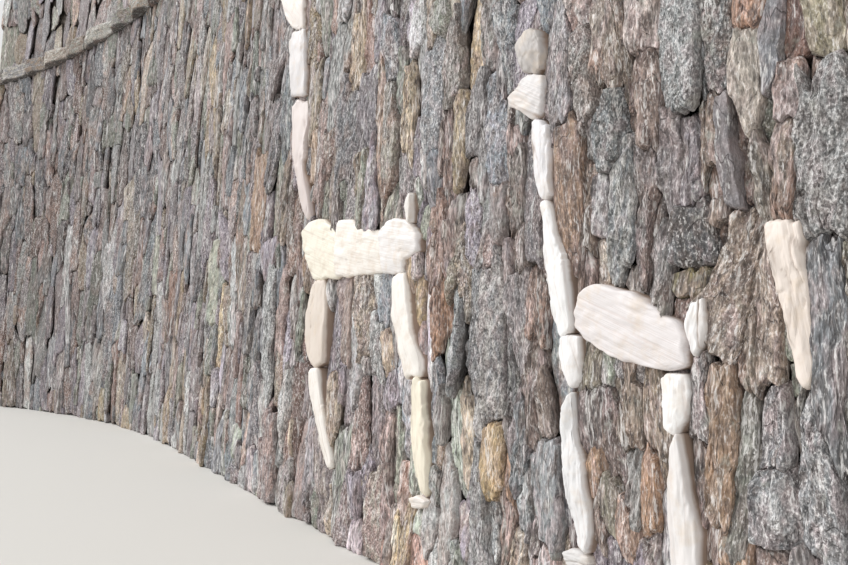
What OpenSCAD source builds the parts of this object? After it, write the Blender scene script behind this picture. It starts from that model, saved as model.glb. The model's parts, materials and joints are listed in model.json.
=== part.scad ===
// Tall dry stone terrace wall of upright schist slabs, hollow in plan at its left half.
// Two long-necked four-legged figures and one leaning stone are inlaid in pale quartz.
// A course of projecting cap slabs closes the wall and a set-back upper lift stands on it.
// Origin: on the ground at mid thickness, where the curved run meets the straight run.
// X runs along the straight run to the right, Y into the wall, Z up. Sizes are millimetres.

/* [Plan] */
// Length of one bay along the foot of the front face
bay_len = 1900; // [1700:50:2000]
// Radius of the curved run, at the foot of the front face
curve_r = 10500; // [8000:250:14000]

/* [Section] */
// Height of the wall up to the underside of its cap slabs
wall_h = 3800; // [3300:50:4000]
// Thickness at the ground
base_t = 1400; // [1400:50:1800]
// Lean of the front face, as run over rise
front_batter = 0.08; // [0.04:0.01:0.1]
// Lean of the back face, as run over rise
back_batter = 0.04; // [0:0.01:0.05]
// Thickness of the front facing, from the face to the hearting
front_skin = 450; // [350:10:450]
// Thickness of the back facing
back_skin = 300; // [250:10:330]
// Length of the built cheek that closes the hearting at each end
cheek_len = 350; // [250:10:500]

/* [Cap slabs] */
// Thickness of the cap slabs
slab_t = 150; // [100:10:180]
// How far the slabs project beyond the front face on average
slab_overhang = 75; // [30:5:90]
// How far the slabs project beyond the back face
slab_back = 20; // [0:5:40]
// Open joint between two slabs
slab_gap = 8; // [4:1:12]
// Slabs over one bay
slabs_per_bay = 4; // [3:1:5]

/* [Upper lift] */
// Height of the upper lift above the cap slabs
lift_h = 1100; // [600:50:1400]
// Thickness of the upper lift at its foot
lift_t = 600; // [450:25:650]
// Distance from the top edge of the lower face back to the upper one
lift_setback = 160; // [100:10:180]

/* [Pale stones] */
// How deep the pale stones run into the facing
pale_depth = 250; // [150:10:300]
// How far they stand proud of the face
pale_proud = 18; // [8:1:30]
// Depth of the worn edge round a pale stone
pale_worn = 8; // [3:1:8]
// Largest rounding of their corners
pale_corner = 30; // [10:1:40]

/* [Hidden] */
bays = 6;
curved_bays = 3;

front_y = -base_t / 2;
run_start = -curved_bays * bay_len;
run_end = (bays - curved_bays) * bay_len;
face_lean = atan(front_batter);
lift_batter = 0.06;
lift_back_batter = 0.03;
slab_foot = wall_h;
lift_foot = wall_h + slab_t;
worn_step = 10;

// Distance into the wall of the front face, the back face and the hearting's two sides
function front_u(z) = front_batter * z;
function back_u(z) = base_t - back_batter * z;
function heart_front_u(z) = front_u(z) + front_skin;
function heart_back_u(z) = back_u(z) - back_skin;

// Section outlines as points (distance into the wall, height)
face_section = [
    [front_u(0), 0], [heart_front_u(0), 0],
    [heart_front_u(wall_h), wall_h], [front_u(wall_h), wall_h]
];
heart_section = [
    [heart_front_u(0), 0], [heart_back_u(0), 0],
    [heart_back_u(wall_h), wall_h], [heart_front_u(wall_h), wall_h]
];
back_section = [
    [heart_back_u(0), 0], [back_u(0), 0],
    [back_u(wall_h), wall_h], [heart_back_u(wall_h), wall_h]
];
lift_front = front_u(wall_h) + lift_setback;
lift_section = [
    [lift_front, lift_foot],
    [lift_front + lift_t, lift_foot],
    [lift_front + lift_t - lift_back_batter * lift_h, lift_foot + lift_h],
    [lift_front + lift_batter * lift_h, lift_foot + lift_h]
];

// Plan point at distance a along the foot of the face, negative on the curve, and u into the wall
function plan(a, u) = a >= 0
    ? [a, front_y + u]
    : let (turn = -a / curve_r * 180 / PI)
        [-(curve_r + u) * sin(turn), front_y - curve_r + (curve_r + u) * cos(turn)];

// Even scatter between -1 and 1 that makes like pieces differ
function scatter(i) = sin(i * 137.5);

// Start of bay k along the run
function bay_start(k) = run_start + (k - 1) * bay_len;

// Outline with each corner rounded by a quadratic curve
function rounded(outline, reach, steps = 3) = [
    for (i = [0 : len(outline) - 1])
        let (
            before = outline[(i + len(outline) - 1) % len(outline)],
            corner = outline[i],
            after = outline[(i + 1) % len(outline)],
            back = before - corner,
            ahead = after - corner,
            start = corner + back / norm(back) * min(reach, 0.42 * norm(back)),
            stop = corner + ahead / norm(ahead) * min(reach, 0.42 * norm(ahead))
        )
        for (j = [0 : steps])
            let (t = j / steps)
            (1 - t) * (1 - t) * start + 2 * t * (1 - t) * corner + t * t * stop
];

// Middle of an outline, and the outline drawn in towards it by a fixed worn edge
function middle(outline) = [
    for (axis = [0, 1]) (max([for (p = outline) p[axis]]) + min([for (p = outline) p[axis]])) / 2
];
function drawn_in(outline, edge) = [
    for (p = outline) p + (middle(outline) - p) * min(0.45, edge / norm(middle(outline) - p))
];

// Pale stones as outlines on the face: distance along the wall, distance up the slope
left_head = [
    [
        [1560, 2620], [1640, 2700], [1900, 2720], [2000, 2560], [2065, 2380], [2080, 2230],
        [1980, 2260], [1865, 2350], [1775, 2490], [1620, 2560]
    ],
    [[1640, 2890], [1740, 2960], [1870, 2950], [1900, 2830], [1885, 2740], [1730, 2730]]
];
left_neck = [
    [[1990, 2180], [2030, 2225], [2150, 2200], [2195, 2035], [2240, 1860], [2060, 1900]],
    [
        [2075, 1850], [2225, 1840], [2260, 1780], [2320, 1510], [2395, 1380], [2465, 1250],
        [2395, 1250], [2315, 1350], [2260, 1475], [2165, 1610], [2115, 1740]
    ]
];
left_body = [
    [
        [2380, 1195], [2475, 1230], [2635, 1215], [2760, 1165], [2810, 1135], [2830, 1070],
        [2860, 965], [2590, 975], [2510, 1040], [2430, 1110]
    ],
    [
        [2820, 1145], [2845, 1185], [2975, 1170], [3010, 1130], [3175, 1110], [3210, 1100],
        [3230, 1035], [3260, 955], [3005, 965], [2870, 965], [2840, 1070]
    ],
    [
        [3220, 1100], [3285, 1130], [3385, 1115], [3440, 1095], [3480, 1050], [3485, 1010],
        [3410, 990], [3395, 945], [3270, 955], [3240, 1035]
    ]
];
left_tail = [
    [[3400, 1165], [3415, 1200], [3430, 1190], [3445, 1110], [3425, 1110]]
];
left_fore_leg = [
    [
        [2545, 945], [2600, 965], [2700, 960], [2740, 800], [2755, 635], [2705, 620], [2630, 650],
        [2575, 725], [2555, 845]
    ],
    [
        [2650, 605], [2730, 610], [2775, 510], [2830, 410], [2930, 255], [2880, 240], [2825, 305],
        [2755, 410], [2690, 505]
    ]
];
left_hind_leg = [
    [
        [3345, 910], [3365, 935], [3420, 940], [3440, 885], [3505, 740], [3560, 665], [3570, 615],
        [3490, 610], [3450, 655], [3400, 740], [3360, 820]
    ],
    [
        [3545, 575], [3560, 605], [3595, 590], [3640, 440], [3665, 300], [3650, 275], [3635, 275],
        [3595, 320], [3550, 450]
    ],
    [[3575, 250], [3620, 260], [3675, 260], [3660, 240], [3600, 230]]
];
right_head = [
    [
        [3984, 1374], [3996, 1349], [4052, 1327], [4086, 1295], [4120, 1288], [4132, 1331],
        [4127, 1391], [4090, 1405], [4047, 1408], [4030, 1388]
    ],
    [
        [4013, 1507], [4039, 1526], [4065, 1534], [4102, 1516], [4120, 1467], [4120, 1422],
        [4101, 1414], [4057, 1430]
    ]
];
right_neck = [
    [
        [4103, 1277], [4131, 1275], [4165, 1247], [4178, 1193], [4185, 1116], [4202, 1072],
        [4161, 1074], [4131, 1128], [4111, 1204]
    ],
    [
        [4166, 1058], [4198, 1056], [4222, 974], [4262, 885], [4280, 830], [4296, 742], [4255, 736],
        [4227, 793], [4186, 940]
    ]
];
right_body = [
    [
        [4316, 756], [4321, 820], [4348, 839], [4389, 841], [4501, 814], [4630, 748], [4646, 697],
        [4650, 675], [4605, 664], [4495, 681], [4402, 708], [4339, 732]
    ]
];
right_tail = [
    [[4652, 757], [4660, 789], [4686, 794], [4688, 751], [4683, 713], [4672, 695]]
];
right_fore_leg = [
    [
        [4266, 695], [4267, 723], [4278, 728], [4325, 725], [4330, 689], [4330, 638], [4312, 619],
        [4301, 623], [4280, 659]
    ],
    [
        [4318, 608], [4303, 583], [4290, 544], [4307, 466], [4333, 372], [4368, 282], [4392, 275],
        [4404, 310], [4387, 380], [4353, 456], [4332, 523], [4331, 590]
    ],
    [[4322, 258], [4345, 266], [4392, 262], [4400, 240], [4350, 228]]
];
right_hind_leg = [
    [
        [4585, 640], [4600, 652], [4645, 652], [4652, 619], [4647, 575], [4634, 548], [4606, 556],
        [4593, 600]
    ],
    [
        [4633, 535], [4622, 458], [4628, 385], [4635, 305], [4645, 210], [4712, 215], [4697, 317],
        [4689, 377], [4670, 428], [4651, 525], [4645, 537]
    ]
];
leaning_stone = [
    [
        [4836, 893], [4819, 909], [4823, 924], [4888, 920], [4896, 852], [4906, 800], [4927, 655],
        [4912, 642], [4893, 667], [4874, 757], [4845, 855]
    ]
];
pale_stones = concat(
    left_head, left_neck, left_body, left_tail, left_fore_leg, left_hind_leg,
    right_head, right_neck, right_body, right_tail, right_fore_leg, right_hind_leg,
    leaning_stone
);

// Length of wall from a0 to a1 with one section, turned on the curve and straight elsewhere
module run_of(a0, a1, section) {
    if (a1 <= 0)
        translate([0, front_y - curve_r, 0])
            rotate([0, 0, 90 - a1 / curve_r * 180 / PI])
                rotate_extrude(angle = (a1 - a0) / curve_r * 180 / PI, $fn = 180)
                    polygon([for (p = section) [curve_r + p[0], p[1]]]);
    else
        translate([a0, front_y, 0])
            rotate([90, 0, 90])
                linear_extrude(a1 - a0)
                    polygon(section);
}

// Places its children on the battered face, with their own Z pointing out of the wall
module on_face() {
    translate([0, front_y, 0])
        rotate([90 - face_lean, 0, 0])
            children();
}

module pocket(outline) {
    on_face()
        translate([0, 0, -pale_depth])
            linear_extrude(pale_depth + pale_proud)
                polygon(rounded(outline, pale_corner));
}

// Stone of full outline in its pocket, with a worn edge where it stands proud
module pale_stone(outline) {
    on_face() {
        translate([0, 0, -pale_depth])
            linear_extrude(pale_depth + pale_proud - worn_step)
                polygon(rounded(outline, pale_corner));
        translate([0, 0, pale_proud - worn_step])
            linear_extrude(worn_step)
                polygon(rounded(drawn_in(outline, pale_worn), pale_corner));
    }
}

module pale_group(outlines) {
    color([0.86, 0.82, 0.76])
        for (outline = outlines)
            pale_stone(outline);
}

module face_bay(k) {
    color([0.56, 0.52, 0.50])
        difference() {
            run_of(bay_start(k), bay_start(k + 1), face_section);
            if (k > curved_bays)
                for (outline = pale_stones)
                    if (max([for (p = outline) p[0]]) > bay_start(k)
                        && min([for (p = outline) p[0]]) < bay_start(k + 1))
                        pocket(outline);
        }
}

module heart_bay(k) {
    color([0.42, 0.39, 0.37])
        run_of(
            bay_start(k) + (k == 1 ? cheek_len : 0),
            bay_start(k + 1) - (k == bays ? cheek_len : 0),
            heart_section
        );
}

module back_bay(k) {
    color([0.54, 0.51, 0.48])
        run_of(bay_start(k), bay_start(k + 1), back_section);
}

module cheek_end(a0) {
    color([0.50, 0.47, 0.45])
        run_of(a0, a0 + cheek_len, heart_section);
}

// Joint i between two slabs: its place at the front edge and, a little skewed, at the back
function slab_cut(k, i) =
    let (shift = i % slabs_per_bay == 0 ? 0 : 0.2 * scatter(7 * k + i))
    bay_start(k) + bay_len / slabs_per_bay * (i + shift);
function slab_skew(k, i) = i % slabs_per_bay == 0 ? 0 : 45 * scatter(5 * k + i + 2);

// One cap slab: an uneven plan outline, its nose ragged and its ends cut a little askew
module cap_slab(k, i) {
    a0 = slab_cut(k, i) + slab_gap / 2;
    a1 = slab_cut(k, i + 1) - slab_gap / 2;
    skew0 = slab_skew(k, i);
    skew1 = slab_skew(k, i + 1);
    nose = [for (j = [0 : 4]) slab_overhang * (1 + 0.35 * scatter(11 * k + 3 * i + 2 * j))];
    nose_points = [
        for (j = [0 : 4])
            let (end_cut = j % 4 == 0 ? 0.45 * slab_overhang : 0)
            plan(a0 + (a1 - a0) * j / 4, front_u(wall_h) - nose[j] + end_cut)
    ];
    tail_points = [
        for (j = [4 : -1 : 0])
            plan(a0 + skew0 + (a1 + skew1 - a0 - skew0) * j / 4, back_u(wall_h) + slab_back)
    ];
    translate([0, 0, slab_foot])
        linear_extrude(slab_t)
            polygon(concat(nose_points, tail_points));
}

module cap_slabs(k) {
    color([0.60, 0.58, 0.53])
        for (i = [0 : slabs_per_bay - 1])
            cap_slab(k, i);
}

module upper_lift(k) {
    color([0.55, 0.52, 0.50])
        run_of(bay_start(k), bay_start(k + 1), lift_section);
}

for (k = [1 : bays]) {
    face_bay(k);
    heart_bay(k);
    back_bay(k);
    cap_slabs(k);
    upper_lift(k);
}
cheek_end(run_start);  // cheek_end_left
cheek_end(run_end - cheek_len);  // cheek_end_right
pale_group(left_head);  // left_figure_head
pale_group(left_neck);  // left_figure_neck
pale_group(left_body);  // left_figure_body
pale_group(left_tail);  // left_figure_tail
pale_group(left_fore_leg);  // left_figure_fore_leg
pale_group(left_hind_leg);  // left_figure_hind_leg
pale_group(right_head);  // right_figure_head
pale_group(right_neck);  // right_figure_neck
pale_group(right_body);  // right_figure_body
pale_group(right_tail);  // right_figure_tail
pale_group(right_fore_leg);  // right_figure_fore_leg
pale_group(right_hind_leg);  // right_figure_hind_leg
pale_group(leaning_stone);  // pale_leaning_stone
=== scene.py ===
import json
import bpy
import numpy as np
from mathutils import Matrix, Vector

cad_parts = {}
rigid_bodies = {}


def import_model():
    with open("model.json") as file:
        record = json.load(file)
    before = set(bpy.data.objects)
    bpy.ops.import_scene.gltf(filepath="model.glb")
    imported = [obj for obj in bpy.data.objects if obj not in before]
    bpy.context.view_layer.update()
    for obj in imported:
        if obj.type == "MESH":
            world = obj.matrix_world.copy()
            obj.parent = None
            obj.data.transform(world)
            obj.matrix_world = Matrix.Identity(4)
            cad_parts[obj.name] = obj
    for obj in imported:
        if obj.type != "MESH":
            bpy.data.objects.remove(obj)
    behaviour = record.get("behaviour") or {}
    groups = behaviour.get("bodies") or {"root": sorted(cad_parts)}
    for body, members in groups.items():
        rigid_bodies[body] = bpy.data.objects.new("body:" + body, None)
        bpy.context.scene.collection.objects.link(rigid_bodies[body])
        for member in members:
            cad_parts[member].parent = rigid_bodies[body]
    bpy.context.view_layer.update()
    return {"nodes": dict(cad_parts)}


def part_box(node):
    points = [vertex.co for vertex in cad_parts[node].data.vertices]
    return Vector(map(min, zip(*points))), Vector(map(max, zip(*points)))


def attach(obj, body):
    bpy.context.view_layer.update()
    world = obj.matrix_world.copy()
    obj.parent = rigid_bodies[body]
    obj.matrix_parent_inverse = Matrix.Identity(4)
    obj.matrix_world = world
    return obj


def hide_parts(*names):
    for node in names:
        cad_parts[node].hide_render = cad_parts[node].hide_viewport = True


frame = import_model()

# Sizes of the wall in metres, read from the frame where a box gives them
face4, back4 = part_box("face_bay_4"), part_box("back_bay_4")
slabs4, lift4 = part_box("cap_slabs_bay_4"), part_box("upper_lift_bay_4")
wall = {
    "bayLength": face4[1].x - face4[0].x,
    "bays": 6,
    "curvedBays": 3,
    "curveRadius": 10.5,      # of the foot of the front face
    "frontY": face4[0].y,
    "thickness": back4[1].y - face4[0].y,
    "frontSkin": 0.45,
    "backSkin": 0.30,
    "cheek": 0.35,
    "height": face4[1].z,
    "frontBatter": 0.08,
    "backBatter": 0.04,
    "slabTop": slabs4[1].z,
    "liftTop": lift4[1].z,
    "liftBatter": 0.06,
    "liftBackBatter": 0.03,
    "liftFront": lift4[0].y - face4[0].y,
    "liftBack": lift4[1].y - face4[0].y,
}
wall["runStart"] = -wall["curvedBays"] * wall["bayLength"]
wall["runEnd"] = (wall["bays"] - wall["curvedBays"]) * wall["bayLength"]
print("sizes read from the frame")

# Camera of the photograph
view = {
    "focal": 35.0,            # mm on a 36 mm sensor
    "alongWall": 5.8,         # m right of the curve's start
    "fromFace": 1.13,         # m in front of the face's foot
    "height": 0.72,
    "turnLeft": 62.0,         # degrees from square on
    "lookUp": 4.0,
}
eye = np.array((view["alongWall"], wall["frontY"] - view["fromFace"], view["height"]))
camera = bpy.data.objects.new("camera", bpy.data.cameras.new("camera"))
camera.data.lens = view["focal"]
camera.data.sensor_width = 36.0
camera.data.clip_start = 0.05
camera.location = eye
camera.rotation_euler = (np.radians(90 + view["lookUp"]), 0, np.radians(view["turnLeft"]))
bpy.context.collection.objects.link(camera)
bpy.context.scene.camera = camera
print("camera placed")


# Where a point of the wall lies

def planPoint(along, inwards):
    # straight: (a, y0 + u); on the curve: centre + (R + u) (-sin t, cos t) with t = -a / R
    turn = np.where(along < 0, -along / wall["curveRadius"], 0.0)
    radius = wall["curveRadius"] + inwards
    x = np.where(along < 0, -radius * np.sin(turn), along)
    y = wall["frontY"] + np.where(along < 0, radius * np.cos(turn) - wall["curveRadius"], inwards)
    return x, y


def placed(along, inwards, z):
    x, y = planPoint(along, inwards)
    return np.stack((x, y, z + 0 * x), -1)


def frontInwards(z):
    return wall["frontBatter"] * z


def backInwards(z):
    return wall["thickness"] - wall["backBatter"] * z


def endInwards(p, z):
    # p runs over the foot's thickness and shrinks with the wall: u = front + p (back - front) / foot
    return frontInwards(z) + p * (backInwards(z) - frontInwards(z)) / wall["thickness"]


def liftFrontInwards(z):
    return wall["liftFront"] + wall["liftBatter"] * (z - wall["slabTop"])


def liftBackInwards(z):
    return wall["liftBack"] - wall["liftBackBatter"] * (z - wall["slabTop"])


# Each face's own map: p to the right as one looks at it, q up, out towards the eye
faceMaps = {
    "front": lambda p, q, out: placed(p, frontInwards(q) - out, q),
    "back": lambda p, q, out: placed(-p, backInwards(q) + out, q),
    "right": lambda p, q, out: placed(wall["runEnd"] + out + 0 * p, endInwards(p, q), q),
    "left": lambda p, q, out: placed(wall["runStart"] - out + 0 * p, endInwards(-p, q), q),
    "liftFront": lambda p, q, out: placed(p, liftFrontInwards(q) - out, q),
    "liftBack": lambda p, q, out: placed(-p, liftBackInwards(q) + out, q),
    "liftRight": lambda p, q, out: placed(wall["runEnd"] + out + 0 * p, liftFrontInwards(q) + p, q),
    "liftLeft": lambda p, q, out: placed(wall["runStart"] - out + 0 * p, liftFrontInwards(q) - p, q),
    "liftTop": lambda p, q, out: placed(p, q, wall["liftTop"] + out),
}


# Noise and small helpers

lattice = np.random.default_rng(11).uniform(-1, 1, (256, 256))


def smoothNoise(x, y):
    # random lattice blended with t t (3 - 2 t) both ways, from -1 to 1
    column, row = np.floor(x).astype(int), np.floor(y).astype(int)
    tx, ty = x - column, y - row
    tx, ty = tx * tx * (3 - 2 * tx), ty * ty * (3 - 2 * ty)
    c0, c1, r0, r1 = column & 255, (column + 1) & 255, row & 255, (row + 1) & 255
    low = lattice[c0, r0] * (1 - tx) + lattice[c1, r0] * tx
    high = lattice[c0, r1] * (1 - tx) + lattice[c1, r1] * tx
    return low * (1 - ty) + high * ty


def layeredNoise(x, y, layers):
    # sum of noise(2^k x, 2^k y) / 2^k
    total = 0
    for k in range(layers):
        total = total + smoothNoise(x * 2 ** k + 17.3 * k, y * 2 ** k + 5.9 * k) / 2 ** k
    return total


def ramp(value, start, length):
    # 0 up to the start, 1 from a length on; a length below zero runs to the left
    return np.clip((value - start) / length, 0, 1)


def linear(hexColour):
    # sRGB hex to linear red, green, blue
    c = np.array([int(hexColour[i:i + 2], 16) / 255 for i in (0, 2, 4)])
    return np.where(c <= 0.04045, c / 12.92, ((c + 0.055) / 1.055) ** 2.4)


# Setting out the stones of a face

blockKeys = ("halfWidth", "halfHeight", "lean", "taper", "slant")


def overrun(dx, dz, stone):
    # how far a point lies outside an upright block: (|u|^8 + |v|^8)^(1/8) - 1, times its half width,
    # where u is over a half width that tapers with v, and v is sheared by the slant of the ends
    v = (dz * np.cos(stone["lean"]) - dx * np.sin(stone["lean"])) / stone["halfHeight"]
    u = (dx * np.cos(stone["lean"]) + dz * np.sin(stone["lean"])) / stone["halfWidth"]
    u = u / (1 + stone["taper"] * np.clip(v, -1.2, 1.2))
    v = v + stone["slant"] * np.clip(u, -1.5, 1.5)
    return (((u ** 2) ** 4 + (v ** 2) ** 4) ** (1 / 8) - 1) * stone["halfWidth"]


def insideOutline(p, q, outline):
    # an odd number of edges crossed on the way right means inside
    crossed = np.zeros(p.shape, int)
    for (p0, q0), (p1, q1) in zip(outline, np.roll(outline, -1, 0)):
        if q0 != q1:
            crossed += ((q0 > q) != (q1 > q)) & (p < (p1 - p0) * (q - q0) / (q1 - q0) + p0)
    return crossed % 2 == 1


def insideAny(p, q, outlines):
    return np.any([np.zeros(p.shape, bool)] + [insideOutline(p, q, outline) for outline in outlines], 0)


def pickOf(stones, chosen):
    return {key: value[chosen] if np.ndim(value) else value for key, value in stones.items()}


settingOut = {
    "slimSpread": 0.2,        # natural logarithm of how much slimmer or stouter a stone is
    "taperSpread": 0.30,
    "mostTaper": 0.6,
    "slantSpread": 0.18,
    "mostSlant": 0.45,
    "leanSpread": 5,          # degrees
    "placedSpread": 0.10,     # taper and slant of placed stones
    "mostPlaced": 0.2,
    "clear": 0.01,            # m from a placed stone's edge to the middle of a random one
    "points": 20,             # random points for each stone
    "fewest": 3,              # points that a stone has to own
    "pointsAtOnce": 1200,
    "rounds": 4,
    "window": 4,              # stone widths from a strip of points within which owners are sought
    "narrowest": 0.014,       # m, half width
    "widest": 0.7,            # half width over the face's stone width
    "squattest": 1.2,         # height over width
    "slenderest": 4.2,
    "turned": (-0.25, 0.3),   # lean that a share may give, radians
    "keep": 0.5,              # how much of its size and lean a stone keeps in a round
    "leanHeld": 0.5,          # how far the face's own lean holds against that of the share
    "stonesAtOnce": 150,
    "neighbours": 18,
    "halvings": 13,
    "blunt": (24, 110),       # power by which reaches are summed, more for sharper corners
    "closest": 0.003,         # m, least reach
    "nearOutline": 0.8,       # m within which an outline's edges are looked at
    "beside": 0.07,           # m from a pale stone
    "wobble": 0.009,          # share of the reach, for each wave round the stone
    "waves": (3, 24),
    "smallest": 0.007,        # m of reach
}


def setOutStones(field, rng):
    # random blocks share out the face, each point to the block it overruns least; in each round a
    # block moves to the middle of its share and half way to the width, height and lean found there,
    # a lean that is part the share's and part the face's own; where stones grow, they are thinned by
    # one over growth squared, so that they still fit
    low, high = np.array(field["low"]), np.array(field["high"])
    rows = np.array([row[:5] for row in field["placed"]]).reshape(-1, 5)
    size = high - low
    count = int(size[0] * size[1] / (field["stoneWidth"] * field["stoneHeight"]))
    radius = np.exp(rng.normal(0, field["variety"], count))
    slim = np.exp(rng.normal(0, settingOut["slimSpread"], count))
    mostTaper, mostSlant, most = (settingOut[key] for key in ("mostTaper", "mostSlant", "mostPlaced"))
    free = {
        "p": rng.uniform(low[0], high[0], count),
        "q": rng.uniform(low[1], high[1], count),
        "halfWidth": 0.5 * field["stoneWidth"] * radius * slim,
        "halfHeight": 0.5 * field["stoneHeight"] * radius / slim,
        "taper": np.clip(rng.normal(0, settingOut["taperSpread"], count), -mostTaper, mostTaper),
        "slant": np.clip(rng.normal(0, settingOut["slantSpread"], count), -mostSlant, mostSlant),
        "fixed": np.zeros(count, int) - 1,
    }
    growth = field["growth"](free["p"])
    free["halfWidth"] *= growth
    free["halfHeight"] *= growth
    free["lean"] = field["lean"](free["p"]) + np.radians(rng.normal(0, settingOut["leanSpread"], count))
    fixed = {
        "p": rows[:, 0],
        "q": rows[:, 1],
        "halfWidth": rows[:, 2] / 2,
        "halfHeight": rows[:, 3] / 2,
        "taper": np.clip(rng.normal(0, settingOut["placedSpread"], len(rows)), -most, most),
        "slant": np.clip(rng.normal(0, settingOut["placedSpread"], len(rows)), -most, most),
        "fixed": np.arange(len(rows)),
        "lean": np.radians(rows[:, 4]),
    }
    taken = insideAny(free["p"], free["q"], field["outlines"]) | (rng.random(count) > growth ** -2)
    for i in range(len(rows)):
        over = overrun(free["p"] - fixed["p"][i], free["q"] - fixed["q"][i], pickOf(fixed, i))
        taken |= over < settingOut["clear"]
    stones = {key: np.concatenate((fixed[key], free[key][~taken])) for key in free}

    samples = rng.uniform(low, high, (count * settingOut["points"], 2))
    samples = samples[~insideAny(samples[:, 0], samples[:, 1], field["outlines"])]
    samples = samples[np.argsort(samples[:, 0])]
    window = settingOut["window"] * field["stoneWidth"]
    held, keep = settingOut["leanHeld"], settingOut["keep"]
    for step in range(settingOut["rounds"]):
        sums = np.zeros((len(stones["p"]), 6))
        for block in np.array_split(samples, max(1, len(samples) // settingOut["pointsAtOnce"])):
            left, right = block[0, 0] - window, block[-1, 0] + window
            near = np.flatnonzero((stones["p"] > left) & (stones["p"] < right))
            dx = block[:, :1] - stones["p"][near]
            dz = block[:, 1:] - stones["q"][near]
            owner = np.argmin(overrun(dx, dz, pickOf(stones, near)), 1)
            ownX, ownZ = dx[np.arange(len(block)), owner], dz[np.arange(len(block)), owner]
            parts = np.stack((ownX * 0 + 1, ownX, ownZ, ownX ** 2, ownZ ** 2, ownX * ownZ), 1)
            np.add.at(sums, near[owner], parts)
        number = np.maximum(sums[:, 0], 1)
        moveX, moveZ = sums[:, 1] / number, sums[:, 2] / number
        spreadZ = np.maximum(sums[:, 4] / number - moveZ ** 2, 1e-6)
        shear = sums[:, 5] / number - moveX * moveZ
        spreadX = np.maximum(sums[:, 3] / number - moveX ** 2 - shear ** 2 / spreadZ, 1e-6)
        loose = stones["fixed"] < 0
        stones["p"] = stones["p"] + moveX * loose
        stones["q"] = stones["q"] + moveZ * loose
        widest = settingOut["widest"] * field["stoneWidth"] * field["growth"](stones["p"])
        width = np.clip(np.sqrt(3 * spreadX), settingOut["narrowest"], widest)
        lowest, highest = settingOut["squattest"] * width, settingOut["slenderest"] * width
        height = np.clip(np.sqrt(3 * spreadZ), lowest, highest)
        turned = np.clip(-shear / spreadZ, *settingOut["turned"])
        lean = (1 - held) * turned + held * field["lean"](stones["p"])
        for key, found in (("halfWidth", width), ("halfHeight", height), ("lean", lean)):
            stones[key] = np.where(loose, keep * stones[key] + (1 - keep) * found, stones[key])
        stones = pickOf(stones, (sums[:, 0] > settingOut["fewest"]) | ~loose)
    return pickOf(stones, ~insideAny(stones["p"], stones["q"], field["outlines"]))


angleCount = 96
roundAngles = np.arange(angleCount) * 2 * np.pi / angleCount


def directions(stretch):
    # unit vectors (cos f, s sin f) / length, crowded where an upright stone has its ends
    way = np.stack((np.cos(roundAngles), stretch * np.sin(roundAngles)), 1)
    return way / np.linalg.norm(way, axis=1)[:, None]


def reachToNeighbours(field, stones, blunt):
    # along each direction the distance where a neighbour's overrun, less the joint, gets smaller
    # than the stone's own, found by halving, and summed as powers of one over it
    way = directions(field["stretch"])
    count = len(stones["p"])
    power = np.zeros((count, angleCount))
    atOnce, neighbours = settingOut["stonesAtOnce"], min(settingOut["neighbours"], count - 1)
    for start in range(0, count, atOnce):
        here = np.arange(start, min(start + atOnce, count))
        gapP = stones["p"][None] - stones["p"][here, None]
        gapQ = stones["q"][None] - stones["q"][here, None]
        nearness = overrun(-gapP, -gapQ, stones)
        nearness[np.arange(len(here)), here] = 1e9
        near = np.argpartition(nearness, neighbours, 1)[:, :neighbours]
        gapP = np.take_along_axis(gapP, near, 1)[:, :, None]
        gapQ = np.take_along_axis(gapQ, near, 1)[:, :, None]
        own = {key: stones[key][here][:, None, None] for key in blockKeys}
        other = {key: stones[key][near][:, :, None] for key in own}
        full = (overrun(way[:, 0], way[:, 1], own) + own["halfWidth"]) / own["halfWidth"]
        low = np.zeros((len(here), near.shape[1], angleCount))
        high = low + 3.0 / full
        for step in range(settingOut["halvings"]):
            reach = (low + high) / 2
            over = overrun(reach * way[:, 0], reach * way[:, 1], own) + field["joint"] \
                > overrun(reach * way[:, 0] - gapP, reach * way[:, 1] - gapQ, other)
            high = np.where(over, reach, high)
            low = np.where(over, low, reach)
        power[here] += ((1 / np.maximum(high, settingOut["closest"])) ** blunt[here, None, None]).sum(1)
    for normal, distance in (
            ((-1, 0), stones["p"] - field["low"][0]), ((1, 0), field["high"][0] - stones["p"]),
            ((0, -1), stones["q"] - field["low"][1]), ((0, 1), field["high"][1] - stones["q"])):
        facing = np.maximum(way @ np.array(normal, float), 0)
        power += (facing[None] / np.maximum(distance, 0.004)[:, None]) ** blunt[:, None]
    return power


def reachToOutlines(stretch, middles, outlines, blunt):
    # one over the distance along each direction to the nearest outline edge, as the same power
    way = directions(stretch)
    power = np.zeros((len(middles), angleCount))
    starts = np.concatenate(outlines)
    ends = np.concatenate([np.roll(outline, -1, 0) for outline in outlines])
    for i, middle in enumerate(middles):
        close = np.linalg.norm(starts - middle, axis=1) < settingOut["nearOutline"]
        if not close.any():
            continue
        a, edge = starts[close] - middle, ends[close] - starts[close]
        cross = way[:, None, 0] * edge[None, :, 1] - way[:, None, 1] * edge[None, :, 0]
        cross = np.where(abs(cross) < 1e-9, 1e-9, cross)
        distance = (a[None, :, 0] * edge[None, :, 1] - a[None, :, 1] * edge[None, :, 0]) / cross
        place = (a[None, :, 0] * way[:, None, 1] - a[None, :, 1] * way[:, None, 0]) / cross
        hit = (distance > 0) & (place >= 0) & (place <= 1)
        distance = np.where(hit, distance, np.inf).min(1)
        power[i] = (1 / np.maximum(distance, settingOut["closest"])) ** blunt[i]
    return power


pinning = {
    "width": 0.036,           # m
    "height": 0.090,
    "apart": (0.03, 0.08),    # m sideways or up and down
    "window": 0.4,            # m to each side within which stones are sought
}


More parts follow.
